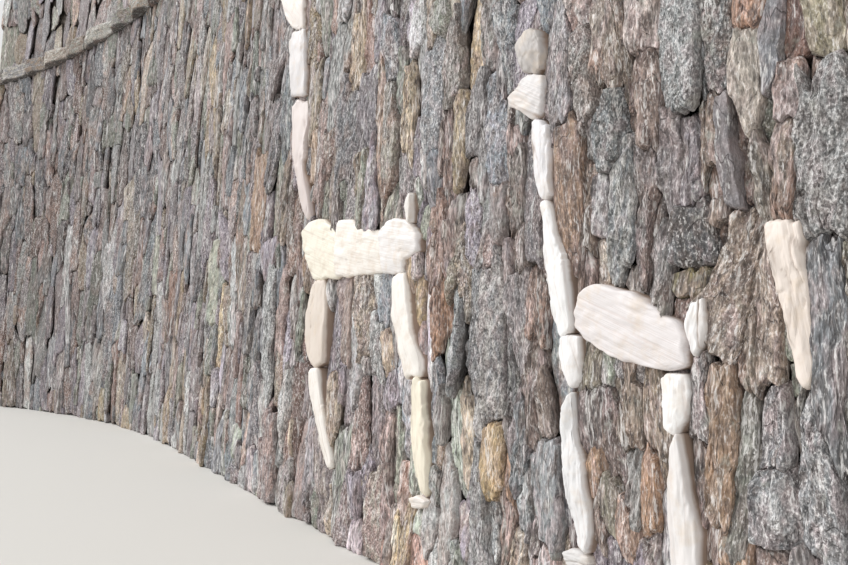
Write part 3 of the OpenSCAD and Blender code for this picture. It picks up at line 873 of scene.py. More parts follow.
# Stones seen close: p, q, width, height (m), lean left (degrees), proud (m), tone, granular
nearStones = [
    (4.465, 1.43, 0.085, 0.16, 4, 0.010, "ABA09A", 0.4),
    (4.59, 1.34, 0.125, 0.33, 6, 0.018, "9B9D9D", 0.9),
    (4.69, 1.33, 0.085, 0.27, 4, 0.010, "929495", 0.9),
    (4.76, 1.37, 0.090, 0.13, 0, 0.012, "B08A72", 0.3),
    (4.765, 1.19, 0.055, 0.19, 8, 0.014, "B6AEA4", 0.3),
    (4.80, 1.01, 0.040, 0.19, 11, 0.008, "A89E92", 0.3),
    (4.82, 1.26, 0.035, 0.17, 3, 0.010, "8C8C91", 0.1),
    (4.86, 1.28, 0.055, 0.12, 2, -0.006, "86675B", 0.2),
    (4.92, 1.26, 0.070, 0.14, 8, 0.006, "A39B84", 0.3),
    (4.857, 1.155, 0.058, 0.10, 2, 0.012, "A99D9E", 0.5),
    (4.905, 1.15, 0.040, 0.11, 3, -0.012, "7E6C62", 0.4),
    (4.853, 1.02, 0.065, 0.18, 3, 0.012, "9C8B7E", 0.3),
    (4.925, 1.03, 0.105, 0.31, 2, 0.022, "A7A8A8", 1.0),
    (4.728, 1.065, 0.030, 0.21, 9, 0.012, "9B9699", 0.0),
    (4.69, 1.03, 0.032, 0.14, 9, -0.008, "7A6257", 0.2),
    (4.759, 1.07, 0.034, 0.18, 9, -0.008, "7D6A60", 0.2),
    (4.655, 1.25, 0.030, 0.24, 5, 0.002, "8E9092", 0.9),
    (4.672, 1.12, 0.055, 0.18, 5, 0.004, "A29083", 0.5),
    (4.63, 1.06, 0.055, 0.22, 5, 0.000, "868186", 0.5),
    (4.705, 0.965, 0.045, 0.06, 0, 0.006, "9A8D82", 0.4),
    (4.65, 0.92, 0.090, 0.13, 4, 0.012, "707072", 0.8),
    (4.715, 0.92, 0.050, 0.07, -25, -0.020, "5E534C", 0.2),
    (4.745, 0.83, 0.110, 0.26, -12, -0.006, "968679", 0.7),
    (4.645, 0.835, 0.085, 0.06, 0, -0.004, "938868", 0.4),
    (4.50, 1.23, 0.060, 0.21, 10, 0.012, "A6948B", 0.4),
    (4.44, 1.27, 0.030, 0.15, 10, -0.010, "7A675C", 0.2),
    (4.57, 1.10, 0.050, 0.26, 9, 0.004, "928D8F", 0.5),
    (4.43, 1.02, 0.075, 0.28, 5, 0.010, "8E9396", 0.7),
    (4.505, 1.00, 0.065, 0.26, 5, 0.004, "908889", 0.5),
    (4.55, 0.90, 0.060, 0.20, 5, 0.004, "7C7C7C", 0.6),
    (4.82, 0.76, 0.060, 0.24, 5, 0.006, "918379", 0.6),
    (4.785, 0.71, 0.045, 0.15, -4, 0.002, "988A7D", 0.5),
    (4.94, 0.72, 0.070, 0.37, 6, 0.012, "86898D", 0.4),
    (4.84, 0.57, 0.060, 0.15, 2, 0.004, "7C7E81", 0.8),
    (4.84, 0.44, 0.085, 0.13, 4, 0.008, "77787A", 0.8),
    (4.925, 0.50, 0.070, 0.25, 6, 0.006, "8E9092", 0.9),
    (4.735, 0.53, 0.065, 0.25, 2, 0.012, "A08670", 0.3),
    (4.783, 0.52, 0.035, 0.24, 2, 0.000, "6D6E66", 0.4),
    (4.67, 0.62, 0.055, 0.14, 3, 0.006, "8C8989", 0.7),
    (4.72, 0.645, 0.050, 0.06, -30, -0.020, "60554E", 0.2),
    (4.68, 0.46, 0.035, 0.12, 3, -0.004, "84766F", 0.4),
    (4.77, 0.365, 0.075, 0.08, 2, 0.006, "AB8C6E", 0.3),
    (4.722, 0.36, 0.040, 0.08, 2, 0.000, "8B8D8F", 0.4),
    (4.565, 0.56, 0.050, 0.18, 13, 0.006, "958573", 0.4),
    (4.48, 0.58, 0.075, 0.16, 8, 0.004, "968C80", 0.4),
    (4.49, 0.655, 0.090, 0.06, 0, 0.002, "908C8C", 0.8),
    (4.44, 0.52, 0.065, 0.19, 5, 0.000, "86766F", 0.4),
    (4.56, 0.43, 0.055, 0.14, 8, 0.012, "A58368", 0.3),
    (4.505, 0.43, 0.035, 0.14, 6, 0.008, "8E8E8C", 0.5),
    (4.50, 0.33, 0.055, 0.12, 10, 0.006, "A98E7C", 0.4),
    (4.43, 0.38, 0.060, 0.12, 6, 0.004, "8A8577", 0.4),
    (3.95, 0.71, 0.085, 0.36, 3, 0.014, "9C9C9E", 0.9),
    # a dark tone for a shadowed hollow: painted shade
    (4.03, 0.61, 0.055, 0.22, 3, -0.006, "6A6A6C", 0.6),
    (4.07, 0.80, 0.070, 0.22, 8, 0.006, "8E8A8B", 0.6),
    (4.00, 0.41, 0.080, 0.18, 6, 0.012, "B29C78", 0.3),
    (4.065, 0.37, 0.035, 0.12, 14, 0.002, "B3937C", 0.2),
    (4.09, 0.43, 0.060, 0.20, 5, 0.006, "84898D", 0.5),
    (4.19, 0.55, 0.070, 0.13, 20, 0.006, "94867D", 0.4),
    (4.235, 0.37, 0.095, 0.25, 7, 0.014, "878B8D", 0.1),
    (4.135, 0.33, 0.060, 0.15, 6, 0.002, "85898B", 0.5),
    (4.35, 0.66, 0.075, 0.10, 3, 0.004, "958D7C", 0.4),
    (4.37, 0.55, 0.070, 0.13, 5, 0.004, "827571", 0.4),
    (4.39, 0.44, 0.050, 0.09, 6, 0.008, "A78A70", 0.3),
    (4.40, 0.33, 0.070, 0.12, 6, 0.004, "A2968E", 0.5),
    (4.13, 0.81, 0.070, 0.18, 6, 0.008, "9E867A", 0.4),
    (4.18, 1.41, 0.100, 0.33, 3, 0.010, "908D91", 0.6),
    (4.26, 1.42, 0.060, 0.14, 8, 0.014, "A29E9A", 0.9),
    (4.29, 1.29, 0.060, 0.13, 14, 0.012, "A09A95", 0.7),
    (4.35, 1.40, 0.090, 0.20, 6, 0.008, "A3988F", 0.4),
    (4.345, 1.28, 0.060, 0.08, 3, -0.012, "7C6D66", 0.3),
    (4.255, 1.08, 0.090, 0.34, 6, 0.014, "A08571", 0.3),
    (4.18, 1.16, 0.045, 0.12, 6, 0.000, "8E7D77", 0.3),
    (4.385, 1.19, 0.075, 0.18, 5, 0.016, "979B9E", 0.8),
    (4.36, 1.02, 0.050, 0.15, 3, 0.000, "8A8586", 0.6),
    (4.32, 1.03, 0.040, 0.28, 5, 0.002, "93857A", 0.4),
    (4.01, 1.10, 0.080, 0.20, 8, 0.004, "968E8A", 0.4),
    (3.94, 1.07, 0.090, 0.15, 6, 0.010, "9A9291", 0.1),
    (4.05, 0.95, 0.070, 0.13, 8, 0.004, "928780", 0.4),
    (3.80, 1.36, 0.085, 0.28, 4, 0.006, "908E8F", 0.5),
    (3.70, 1.34, 0.065, 0.26, 6, 0.010, "B3A388", 0.3),
    (3.62, 1.58, 0.110, 0.28, 4, 0.010, "9A9692", 0.6),
    (3.50, 1.50, 0.100, 0.34, 4, 0.008, "8E9195", 0.8),
    (3.33, 1.50, 0.090, 0.32, 5, 0.008, "AA9B84", 0.4),
    (3.20, 1.42, 0.085, 0.40, 3, 0.012, "A6A196", 0.6),
    (3.11, 1.50, 0.045, 0.45, 3, 0.004, "A28D7D", 0.2),
    (3.065, 1.60, 0.030, 0.28, 2, -0.025, "6A5956", 0.2),
    (2.96, 1.60, 0.120, 0.30, 2, 0.004, "918C92", 0.5),
    (2.81, 1.55, 0.120, 0.44, 2, 0.014, "898A8E", 0.7),
    (3.75, 0.72, 0.090, 0.34, 4, 0.010, "929699", 0.9),
    (3.86, 0.74, 0.080, 0.32, 4, 0.006, "98999B", 0.9),
    (3.62, 1.05, 0.070, 0.24, 6, 0.006, "9C837A", 0.4),
    (3.60, 0.97, 0.075, 0.22, 4, 0.004, "85706A", 0.4),
    (3.63, 0.78, 0.050, 0.20, 4, 0.008, "A6836C", 0.4),
    (3.32, 0.68, 0.080, 0.13, 5, 0.010, "B5A08C", 0.5),
    (2.95, 0.78, 0.090, 0.26, 3, 0.010, "B39F96", 0.3),
    (2.70, 0.76, 0.090, 0.26, 3, 0.006, "C4B2A2", 0.3),
    (2.37, 1.82, 0.090, 0.30, 2, 0.006, "C8B8A2", 0.3),
    (2.42, 1.52, 0.070, 0.20, 2, 0.004, "C0A890", 0.3),
    (1.62, 1.45, 0.190, 0.52, 2, 0.014, "B9997E", 0.3),
    (4.14, 0.625, 0.050, 0.20, 4, -0.002, "8A7A74", 0.4),
    (3.905, 1.47, 0.045, 0.16, 4, 0.000, "8A8688", 0.4),
    (3.41, 0.10, 0.050, 0.16, 4, 0.000, "8A8480", 0.4),
    (4.185, 0.24, 0.050, 0.14, 5, 0.000, "84797A", 0.4),
    (4.84, 0.33, 0.060, 0.10, 4, 0.000, "80797A", 0.5),
    (4.905, 0.32, 0.050, 0.12, 4, 0.000, "8A8684", 0.4),
    (4.887, 0.585, 0.030, 0.10, 4, -0.002, "86807C", 0.4),
    (2.35, 0.66, 0.060, 0.16, 3, 0.000, "8C8484", 0.4),
    (4.418, 1.37, 0.035, 0.24, 6, 0.000, "8E7F74", 0.4),
    (4.315, 1.19, 0.035, 0.16, 6, 0.000, "84807E", 0.5),
    (4.325, 0.885, 0.035, 0.09, 8, -0.002, "84766F", 0.4),
    (3.58, 1.33, 0.040, 0.14, 4, 0.000, "867C78", 0.4),
    (3.79, 1.20, 0.050, 0.12, 4, 0.000, "867C78", 0.4),
    (4.035, 0.50, 0.040, 0.08, 4, 0.000, "7C7674", 0.5),
]

# Pale stones, the same outlines as the solids: distance along the wall and up its face, in metres
paleStones = {
    "left_figure_head": [
        [(1.56, 2.62), (1.64, 2.7), (1.9, 2.72), (2, 2.56), (2.065, 2.38), (2.08, 2.23),
         (1.98, 2.26), (1.865, 2.35), (1.775, 2.49), (1.62, 2.56)],
        [(1.64, 2.89), (1.74, 2.96), (1.87, 2.95), (1.9, 2.83), (1.885, 2.74), (1.73, 2.73)]],
    "left_figure_neck": [
        [(1.99, 2.18), (2.03, 2.225), (2.15, 2.2), (2.195, 2.035), (2.24, 1.86), (2.06, 1.9)],
        [(2.075, 1.85), (2.225, 1.84), (2.26, 1.78), (2.32, 1.51), (2.395, 1.38), (2.465, 1.25),
         (2.395, 1.25), (2.315, 1.35), (2.26, 1.475), (2.165, 1.61), (2.115, 1.74)]],
    "left_figure_body": [
        [(2.38, 1.195), (2.475, 1.23), (2.635, 1.215), (2.76, 1.165), (2.81, 1.135), (2.83, 1.07),
         (2.86, 0.965), (2.59, 0.975), (2.51, 1.04), (2.43, 1.11)],
        [(2.82, 1.145), (2.845, 1.185), (2.975, 1.17), (3.01, 1.13), (3.175, 1.11), (3.21, 1.1),
         (3.23, 1.035), (3.26, 0.955), (3.005, 0.965), (2.87, 0.965), (2.84, 1.07)],
        [(3.22, 1.1), (3.285, 1.13), (3.385, 1.115), (3.44, 1.095), (3.48, 1.05), (3.485, 1.01),
         (3.41, 0.99), (3.395, 0.945), (3.27, 0.955), (3.24, 1.035)]],
    "left_figure_tail": [
        [(3.4, 1.165), (3.415, 1.2), (3.43, 1.19), (3.445, 1.11), (3.425, 1.11)]],
    "left_figure_fore_leg": [
        [(2.545, 0.945), (2.6, 0.965), (2.7, 0.96), (2.74, 0.8), (2.755, 0.635), (2.705, 0.62),
         (2.63, 0.65), (2.575, 0.725), (2.555, 0.845)],
        [(2.65, 0.605), (2.73, 0.61), (2.775, 0.51), (2.83, 0.41), (2.93, 0.255), (2.88, 0.24),
         (2.825, 0.305), (2.755, 0.41), (2.69, 0.505)]],
    "left_figure_hind_leg": [
        [(3.345, 0.91), (3.365, 0.935), (3.42, 0.94), (3.44, 0.885), (3.505, 0.74), (3.56, 0.665),
         (3.57, 0.615), (3.49, 0.61), (3.45, 0.655), (3.4, 0.74), (3.36, 0.82)],
        [(3.545, 0.575), (3.56, 0.605), (3.595, 0.59), (3.64, 0.44), (3.665, 0.3), (3.65, 0.275),
         (3.635, 0.275), (3.595, 0.32), (3.55, 0.45)],
        [(3.575, 0.25), (3.62, 0.26), (3.675, 0.26), (3.66, 0.24), (3.6, 0.23)]],
    "right_figure_head": [
        [(3.984, 1.374), (3.996, 1.349), (4.052, 1.327), (4.086, 1.295), (4.12, 1.288),
         (4.132, 1.331), (4.127, 1.391), (4.09, 1.405), (4.047, 1.408), (4.03, 1.388)],
        [(4.013, 1.507), (4.039, 1.526), (4.065, 1.534), (4.102, 1.516), (4.12, 1.467),
         (4.12, 1.422), (4.101, 1.414), (4.057, 1.43)]],
    "right_figure_neck": [
        [(4.103, 1.277), (4.131, 1.275), (4.165, 1.247), (4.178, 1.193), (4.185, 1.116),
         (4.202, 1.072), (4.161, 1.074), (4.131, 1.128), (4.111, 1.204)],
        [(4.166, 1.058), (4.198, 1.056), (4.222, 0.974), (4.262, 0.885), (4.28, 0.83),
         (4.296, 0.742), (4.255, 0.736), (4.227, 0.793), (4.186, 0.94)]],
    "right_figure_body": [
        [(4.316, 0.756), (4.321, 0.82), (4.348, 0.839), (4.389, 0.841), (4.501, 0.814),
         (4.63, 0.748), (4.646, 0.697), (4.65, 0.675), (4.605, 0.664), (4.495, 0.681),
         (4.402, 0.708), (4.339, 0.732)]],
    "right_figure_tail": [
        [(4.652, 0.757), (4.66, 0.789), (4.686, 0.794), (4.688, 0.751), (4.683, 0.713),
         (4.672, 0.695)]],
    "right_figure_fore_leg": [
        [(4.266, 0.695), (4.267, 0.723), (4.278, 0.728), (4.325, 0.725), (4.33, 0.689),
         (4.33, 0.638), (4.312, 0.619), (4.301, 0.623), (4.28, 0.659)],
        [(4.318, 0.608), (4.303, 0.583), (4.29, 0.544), (4.307, 0.466), (4.333, 0.372),
         (4.368, 0.282), (4.392, 0.275), (4.404, 0.31), (4.387, 0.38), (4.353, 0.456),
         (4.332, 0.523), (4.331, 0.59)],
        [(4.322, 0.258), (4.345, 0.266), (4.392, 0.262), (4.4, 0.24), (4.35, 0.228)]],
    "right_figure_hind_leg": [
        [(4.585, 0.64), (4.6, 0.652), (4.645, 0.652), (4.652, 0.619), (4.647, 0.575), (4.634, 0.548),
         (4.606, 0.556), (4.593, 0.6)],
        [(4.633, 0.535), (4.622, 0.458), (4.628, 0.385), (4.635, 0.305), (4.645, 0.21),
         (4.712, 0.215), (4.697, 0.317), (4.689, 0.377), (4.67, 0.428), (4.651, 0.525),
         (4.645, 0.537)]],
    "pale_leaning_stone": [
        [(4.836, 0.893), (4.819, 0.909), (4.823, 0.924), (4.888, 0.92), (4.896, 0.852), (4.906, 0.8),
         (4.927, 0.655), (4.912, 0.642), (4.893, 0.667), (4.874, 0.757), (4.845, 0.855)]],
}
slope = np.sqrt(1 / (1 + wall["frontBatter"] ** 2))
paleOutlines = {name: [np.array(o) * (1, slope) for o in outlines] for name, outlines in paleStones.items()}


# What a stone gets beyond its outline

# Planes that a stone was cleaved along: two that cross its middle, two at its sides, two at its
# ends, two that take corners off (degrees, then shares of the half width)
planes = {
    "turn": np.array((0, 180, 0, 180, 90, -90, 0, 0)),
    "turnSpread": np.array((60, 60, 14, 14, 30, 30, 170, 170)),
    "start": np.array((-0.2, -0.2, 0.45, 0.45, 0.5, 0.5, 0.6, 0.6)),
    "startSpread": np.array((0.5, 0.5, 0.5, 0.5, 0.4, 0.4, 0.5, 0.5)),
    "fall": np.array((0.10, 0.10, 0.14, 0.14, 0.28, 0.28, 0.6, 0.6)),
}


dressing = {
    "drift": (0.25, 0.30, 0.5),   # how much neighbours share a tone, and m across and up over which
    "lightSpread": 0.24,      # natural logarithm
    "granular": ((0.6, 1), (0.15, 0.5)),      # on granular stones and on others
    "streaky": ((0.6, 1), (0.1, 0.45)),
    "proud": (0.002, 0.010),  # m, mean and spread
    "proudLimits": (-0.013, 0.026),
    "sunk": 0.008,            # m
    "besidePale": (0.008, 0.003),     # m further back beside a pale stone, and at most so far out
    "streak": (0.55, 1.55),   # light of the second tone over the first
    "placedOther": 0.3,       # how far a placed stone's second tone is another stone's
    "full": 0.035,            # m of reach from which a stone has its full relief
    "mottled": (0.4, 1.0),
    "rust": (0.6, 2.6),       # of a beta distribution: few stones are rusty
    "shift": 40,              # m by which each stone's grain is moved
    "crown": 0.002,
    "tilt": (0.16, 0.04),     # m out for each m sideways and upwards
    "shear": 0.13,
    # m of relief, least and most, drawn at random, but ridges and ragged ends grow on streaky stones
    # and flakes on granular ones
    "ridge": (0.0010, 0.0032),
    "step": (0.002, 0.010),
    "crevice": (0.001, 0.009),
    "flake": (0.0010, 0.0030),
    "lump": (0.002, 0.007),
    "swell": 0.003,
    "ragged": 0.014,
    "edge": (0.0004, 0.0018),
    "widen": (0.002, 0.0045),     # m that the side widens into the joint
    "jointDepth": (0.004, 0.011),
    "soiled": 0.032,          # m back over which the side darkens fully: earth and painted shade
    "depth": (0.07, 0.10),
}


def dressStones(stones, reach, rng, settings):
    # each stone's tone, relief, planes and edges at random; placed stones keep their own, and
    # neighbours tend to share a tone, because the draw is ranked with a slow noise of the place
    count = len(stones["p"])
    tones = np.array([linear(c) for c in settings["tones"]])
    share, across, up = dressing["drift"]
    drift = share * smoothNoise(stones["p"] / across, stones["q"] / up) + rng.uniform(-0.5, 0.5, count)
    rank = np.argsort(np.argsort(drift)) / count
    pick = tones[np.searchsorted(np.cumsum(settings["shares"])[:-1], rank)]
    other = tones[rng.choice(len(tones), count, p=settings["shares"])]
    lightness = settings["lightness"](stones["p"], stones["q"])
    light = np.exp(rng.normal(lightness, dressing["lightSpread"]))[:, None]
    kind = rng.random(count)
    grainy = settings["grainy"](stones["p"])
    much, little = (rng.uniform(*limits, count) for limits in dressing["granular"])
    granular = np.where(kind < grainy, much, little)
    much, little = (rng.uniform(*limits, count) for limits in dressing["streaky"])
    streaky = np.where(kind > 0.45 + 0.6 * grainy, much, little)
    rough = settings["rough"](stones["p"])
    lowest, highest = dressing["proudLimits"]
    proud = np.clip(rng.normal(*dressing["proud"], count) * rough, lowest * rough, highest)
    proud[(rng.random(count) < settings["sunk"]) & (stones["beside"] == 0)] -= dressing["sunk"]
    further, most = dressing["besidePale"]
    proud = np.where(stones["beside"] > 0, np.minimum(proud - further, most), proud)
    for i in np.flatnonzero(stones["fixed"] >= 0):
        row = settings["placed"][stones["fixed"][i]]
        proud[i], granular[i], light[i] = row[5], row[7], np.exp(lightness[i] + settings["placedLightness"])
        pick[i] = linear(row[6])
        other[i] = (1 - dressing["placedOther"]) * pick[i] + dressing["placedOther"] * other[i]
        streaky[i] = (0.6 + 0.4 * streaky[i]) * np.clip(1 - 2 * abs(row[7] - 0.4), 0.1, 1)
    small = np.clip(np.median(reach, 1) / dressing["full"], 0.25, 1)
    riven = small * rough * (1 - 0.5 * stones["beside"])
    riven = riven * np.where(stones["fixed"] < 0, 1, np.clip(0.25 + 2 * granular, 0, 1))
    second = pick + 0.5 * rough[:, None] * (other - pick)
    shape = (count, len(planes["turn"]))
    tiltP, tiltQ = dressing["tilt"]

    def ranged(key, share):
        # from the least at a share of 0 to the most at 1
        least, most = dressing[key]
        return least + (most - least) * share

    dressed = dict(stones)
    dressed.update({
        "reach": reach,
        "tone": np.clip(pick * light, 0, 0.9),
        "streak": np.clip(second * light * rng.uniform(*dressing["streak"], (count, 1)), 0, 0.9),
        "granular": granular,
        "streaky": streaky,
        "mottled": rng.uniform(*dressing["mottled"], count) * (0.4 + 0.6 * rough),
        "rust": np.clip(rng.beta(*dressing["rust"], count), 0, 1),
        "shiftP": rng.uniform(0, dressing["shift"], count),
        "shiftQ": rng.uniform(0, dressing["shift"], count),
        "proud": proud,
        "crown": rng.uniform(0, dressing["crown"], count) * small,
        "coarse": settings["coarse"](stones["p"]),
        "tiltP": rng.normal(0, tiltP, count) * rough,
        "tiltQ": rng.normal(0, tiltQ, count) * rough,
        "planeTurn": np.radians(planes["turn"]) + rng.normal(0, 1, shape) * np.radians(planes["turnSpread"]),
        "planeStart": planes["start"] + rng.random(shape) * planes["startSpread"],
        "planeFall": abs(rng.normal(0, 1, shape)) * planes["fall"] * rough[:, None],
        "shear": rng.normal(0, dressing["shear"], count),
        "ridge": ranged("ridge", streaky) * riven,
        "step": ranged("step", rng.random(count)) * riven,
        "crevice": ranged("crevice", rng.random(count)) * riven,
        "flake": ranged("flake", granular) * riven,
        "lump": ranged("lump", rng.random(count)) * riven,
        "swell": dressing["swell"] * rng.random(count) * small,
        "ragged": dressing["ragged"] * streaky * small,
        "edge": ranged("edge", rng.random(count)) * small,
        "widen": ranged("widen", rng.random(count)),
        "jointDepth": ranged("jointDepth", rng.random(count)) * rough,
        "soiled": dressing["soiled"] + np.zeros(count),
        "depth": ranged("depth", rng.random(count)),
        "wander": settings["wander"](stones["p"]),
        "smooth": False,
    })
    return dressed


def stonesOn(name, settings, seed):
    # stones set out on one face, pinnings put into the gaps twice, each stone with its reach every
    # way and a little waviness
    rng = np.random.default_rng(seed)
    stones = setOutStones(settings, rng)
    for step in range(3):
        count = len(stones["p"])
        blunt = rng.uniform(*settingOut["blunt"], count)
        power = reachToNeighbours(settings, stones, blunt)
        stones["beside"] = np.zeros(count)
        if settings["outlines"]:
            middles = np.stack((stones["p"], stones["q"]), 1)
            toOutline = reachToOutlines(settings["stretch"], middles, settings["outlines"], blunt)
            power += toOutline
            stones["beside"] = 1.0 * (toOutline.max(1) > (1 / settingOut["beside"]) ** blunt)
        if step < 2:
            del stones["beside"]
            stones = addPinnings(stones, power ** (-1 / blunt[:, None]), settings, rng)
    wobble = 0
    for k in range(*settingOut["waves"]):
        amount, start = rng.normal(0, settingOut["wobble"], (count, 1)), rng.uniform(0, 6.3, (count, 1))
        wobble = wobble + amount * np.cos(k * roundAngles + start)
    reach = power ** (-1 / blunt[:, None]) * (1 - abs(wobble))
    whole = np.median(reach, 1) > settingOut["smallest"]
    stones, reach = pickOf(stones, whole), reach[whole]
    print(name, "set out with", count, "stones")
    return dressStones(stones, reach, rng, settings)


fineness = {
    "pixels": 4.35,           # of the picture to each grid line; finer passes a million triangles
    "lines": np.array([10, 13, 16, 20, 24, 28, 32]),
    "unseen": 5,
    "picture": 848,           # pixels for the 36 mm
    "seen": (0.56, 0.42),     # sideways and upwards over the distance ahead, a little past the picture
}


def finenessOf(points, height):
    # grid lines a stone gets: by how many pixels it stands high in the picture, and few where it
    # isn't seen
    away = np.linalg.norm(points - eye, axis=1)
    turn, rise = np.radians(view["turnLeft"]), np.radians(view["lookUp"])
    ahead = np.array((-np.sin(turn) * np.cos(rise), np.cos(turn) * np.cos(rise), np.sin(rise)))
    right = np.array((np.cos(turn), np.sin(turn), 0))
    depth = np.maximum((points - eye) @ ahead, 0.01)
    sideways, upwards = ((points - eye) @ way / depth for way in (right, np.cross(right, ahead)))
    seen = (abs(sideways) < fineness["seen"][0]) & (abs(upwards) < fineness["seen"][1])
    pixels = height / away * view["focal"] / 36 * fineness["picture"]
    lines = fineness["lines"]
    size = lines[np.searchsorted(lines, pixels / fineness["pixels"]).clip(max=len(lines) - 1)]
    return np.where(seen, size, fineness["unseen"])


def surfacesOf(stones, pointOf, stretch):
    # one surface for all stones of a fineness; two rings round the side, one where it isn't seen
    sizes = finenessOf(pointOf(stones["p"], stones["q"], 0 * stones["p"]), 2 * stones["halfHeight"])
    rings = {s: 1 if s == fineness["unseen"] else 2 for s in np.unique(sizes)}
    return [shapeStones(pickOf(stones, sizes == s), s, rings[s], pointOf, stretch) for s in rings]


# Dark core behind each face, seen only through open joints

core = {
    "behind": 0.060,          # m behind the face
    "step": 0.25,
    "uneven": 0.015,
    "waves": (0.11, 0.13),
}


def coreBlock(a0, a1, frontOf, backOf, z0, z1):
    # points round the section, up the front and down the back, carried along the run, uneven by
    # noise
    z = np.linspace(z0, z1, max(3, int((z1 - z0) / core["step"])))
    along = np.linspace(a0, a1, max(3, int((a1 - a0) / core["step"])))[:, None]
    inwards = np.concatenate((frontOf(z), backOf(z[::-1])))
    height = np.concatenate((z, z[::-1]))[None]
    uneven = core["uneven"] * smoothNoise(along / core["waves"][0], height / core["waves"][1])
    uneven[:, len(z):] *= -1
    return closedTube(placed(along + 0 * height, inwards + uneven, height + 0 * along), True)


def bayRun(bay):
    # where a bay starts and stops along the wall
    start = wall["runStart"] + (bay - 1) * wall["bayLength"]
    return start, start + wall["bayLength"]


def addCore(name, solid, bay, frontOf, backOf, z0, z1):
    # a core stops short of the wall's two ends
    start, stop = bayRun(bay)
    start += core["behind"] * (bay == 1)
    stop -= core["behind"] * (bay == wall["bays"])
    addPiece(f"{name}_bay_{bay}", [coreBlock(start, stop, frontOf, backOf, z0, z1)], rubbleMaterial,
             [f"{solid}_{bay}"])


# Front facing, one piece for each bay, finer where it is seen close
front = dict(
    facing, low=(wall["runStart"], 0.0), high=(wall["runEnd"], wall["height"]), placed=nearStones,
    outlines=[outline for outlines in paleOutlines.values() for outline in outlines],
    stoneWidth=0.060, stoneHeight=0.20,
    growth=lambda p: 1 + 1.1 * ramp(p, 3.6, -8),
    # lightness: partly the stones' own tone, partly painted light and shade, lighter near the foot, darker up
    # the face and far along the curve
    lightness=lambda p, q: 0.20 * ramp(p, 4.6, -0.8) - 0.20 * np.clip(q, 0, 1.8)
    - 0.60 * ramp(p, 3, -6) - 0.15 * ramp(p, 3.3, -0.6) + 0.03,
    rough=lambda p: 0.65 + 0.35 * ramp(p, 0, 4.6),
    coarse=lambda p: 1 + 0.9 * ramp(p, 4, -6),
    grainy=lambda p: 0.35 + 0.10 * ramp(p, 0, 4.5),
    lean=lambda p: np.radians(7 - 4 * ramp(p, 0, 2.2) + 4 * ramp(p, 2.2, 2.3)),
    wander=lambda p: 1 + 1.4 * ramp(p, 3, -4))
split = 0.9                   # m up the face, between the low and the high piece of a bay
frontStones = stonesOn("front", front, 21)
for bay in range(1, wall["bays"] + 1):
    start, stop = bayRun(bay)
    chosen = (frontStones["p"] >= start) & (frontStones["p"] < stop)
    for part, half in (("low", frontStones["q"] < split), ("high", frontStones["q"] >= split)):
        surfaces = surfacesOf(pickOf(frontStones, chosen & half), faceMaps["front"], facing["stretch"])
        name = f"face_stones_bay_{bay}_{part}"
        addPiece(name, surfaces, schistMaterial, [f"face_bay_{bay}"])
    addCore("face_core", "face_bay", bay, lambda z: frontInwards(z) + core["behind"],
            lambda z: frontInwards(z) + wall["frontSkin"], 0.0, wall["height"])


# Pale stones of the inlay

pale = {
    "proud": 0.018,
    "edge": 0.005,
    "swollen": 0.006,         # m past the outline, so that the stones of a figure touch
    "white": "F8F6F5",
    "tones": {                # where a stone isn't white: warm white, cream, or stained
        "left_figure_head": ["ECE4DE", "ECE4DE"],
        "left_figure_neck": ["DEDADA", "DED2CE"],
        "left_figure_body": ["F6F0E0", "F8F2EA", "F2EEEC"],
        "left_figure_tail": ["EEE9E4"],
        "left_figure_fore_leg": ["E4D8CC", "FBF6EF"],
        "left_figure_hind_leg": ["FAF5EE", "F8F0DC", "ECE6E0"],
        "right_figure_head": ["DEDAD9", "B8B2AE"],
        "right_figure_neck": ["EEECEE", "FAF9F8"],
        "right_figure_body": ["E8E2E1"],
        "right_figure_fore_leg": ["FAF8F7", "F0EFEF", "D8D5D3"],
        "right_figure_hind_leg": ["FAF8F6", "EEEAE8"],
        "pale_leaning_stone": ["EEE2D8"],
    },
}


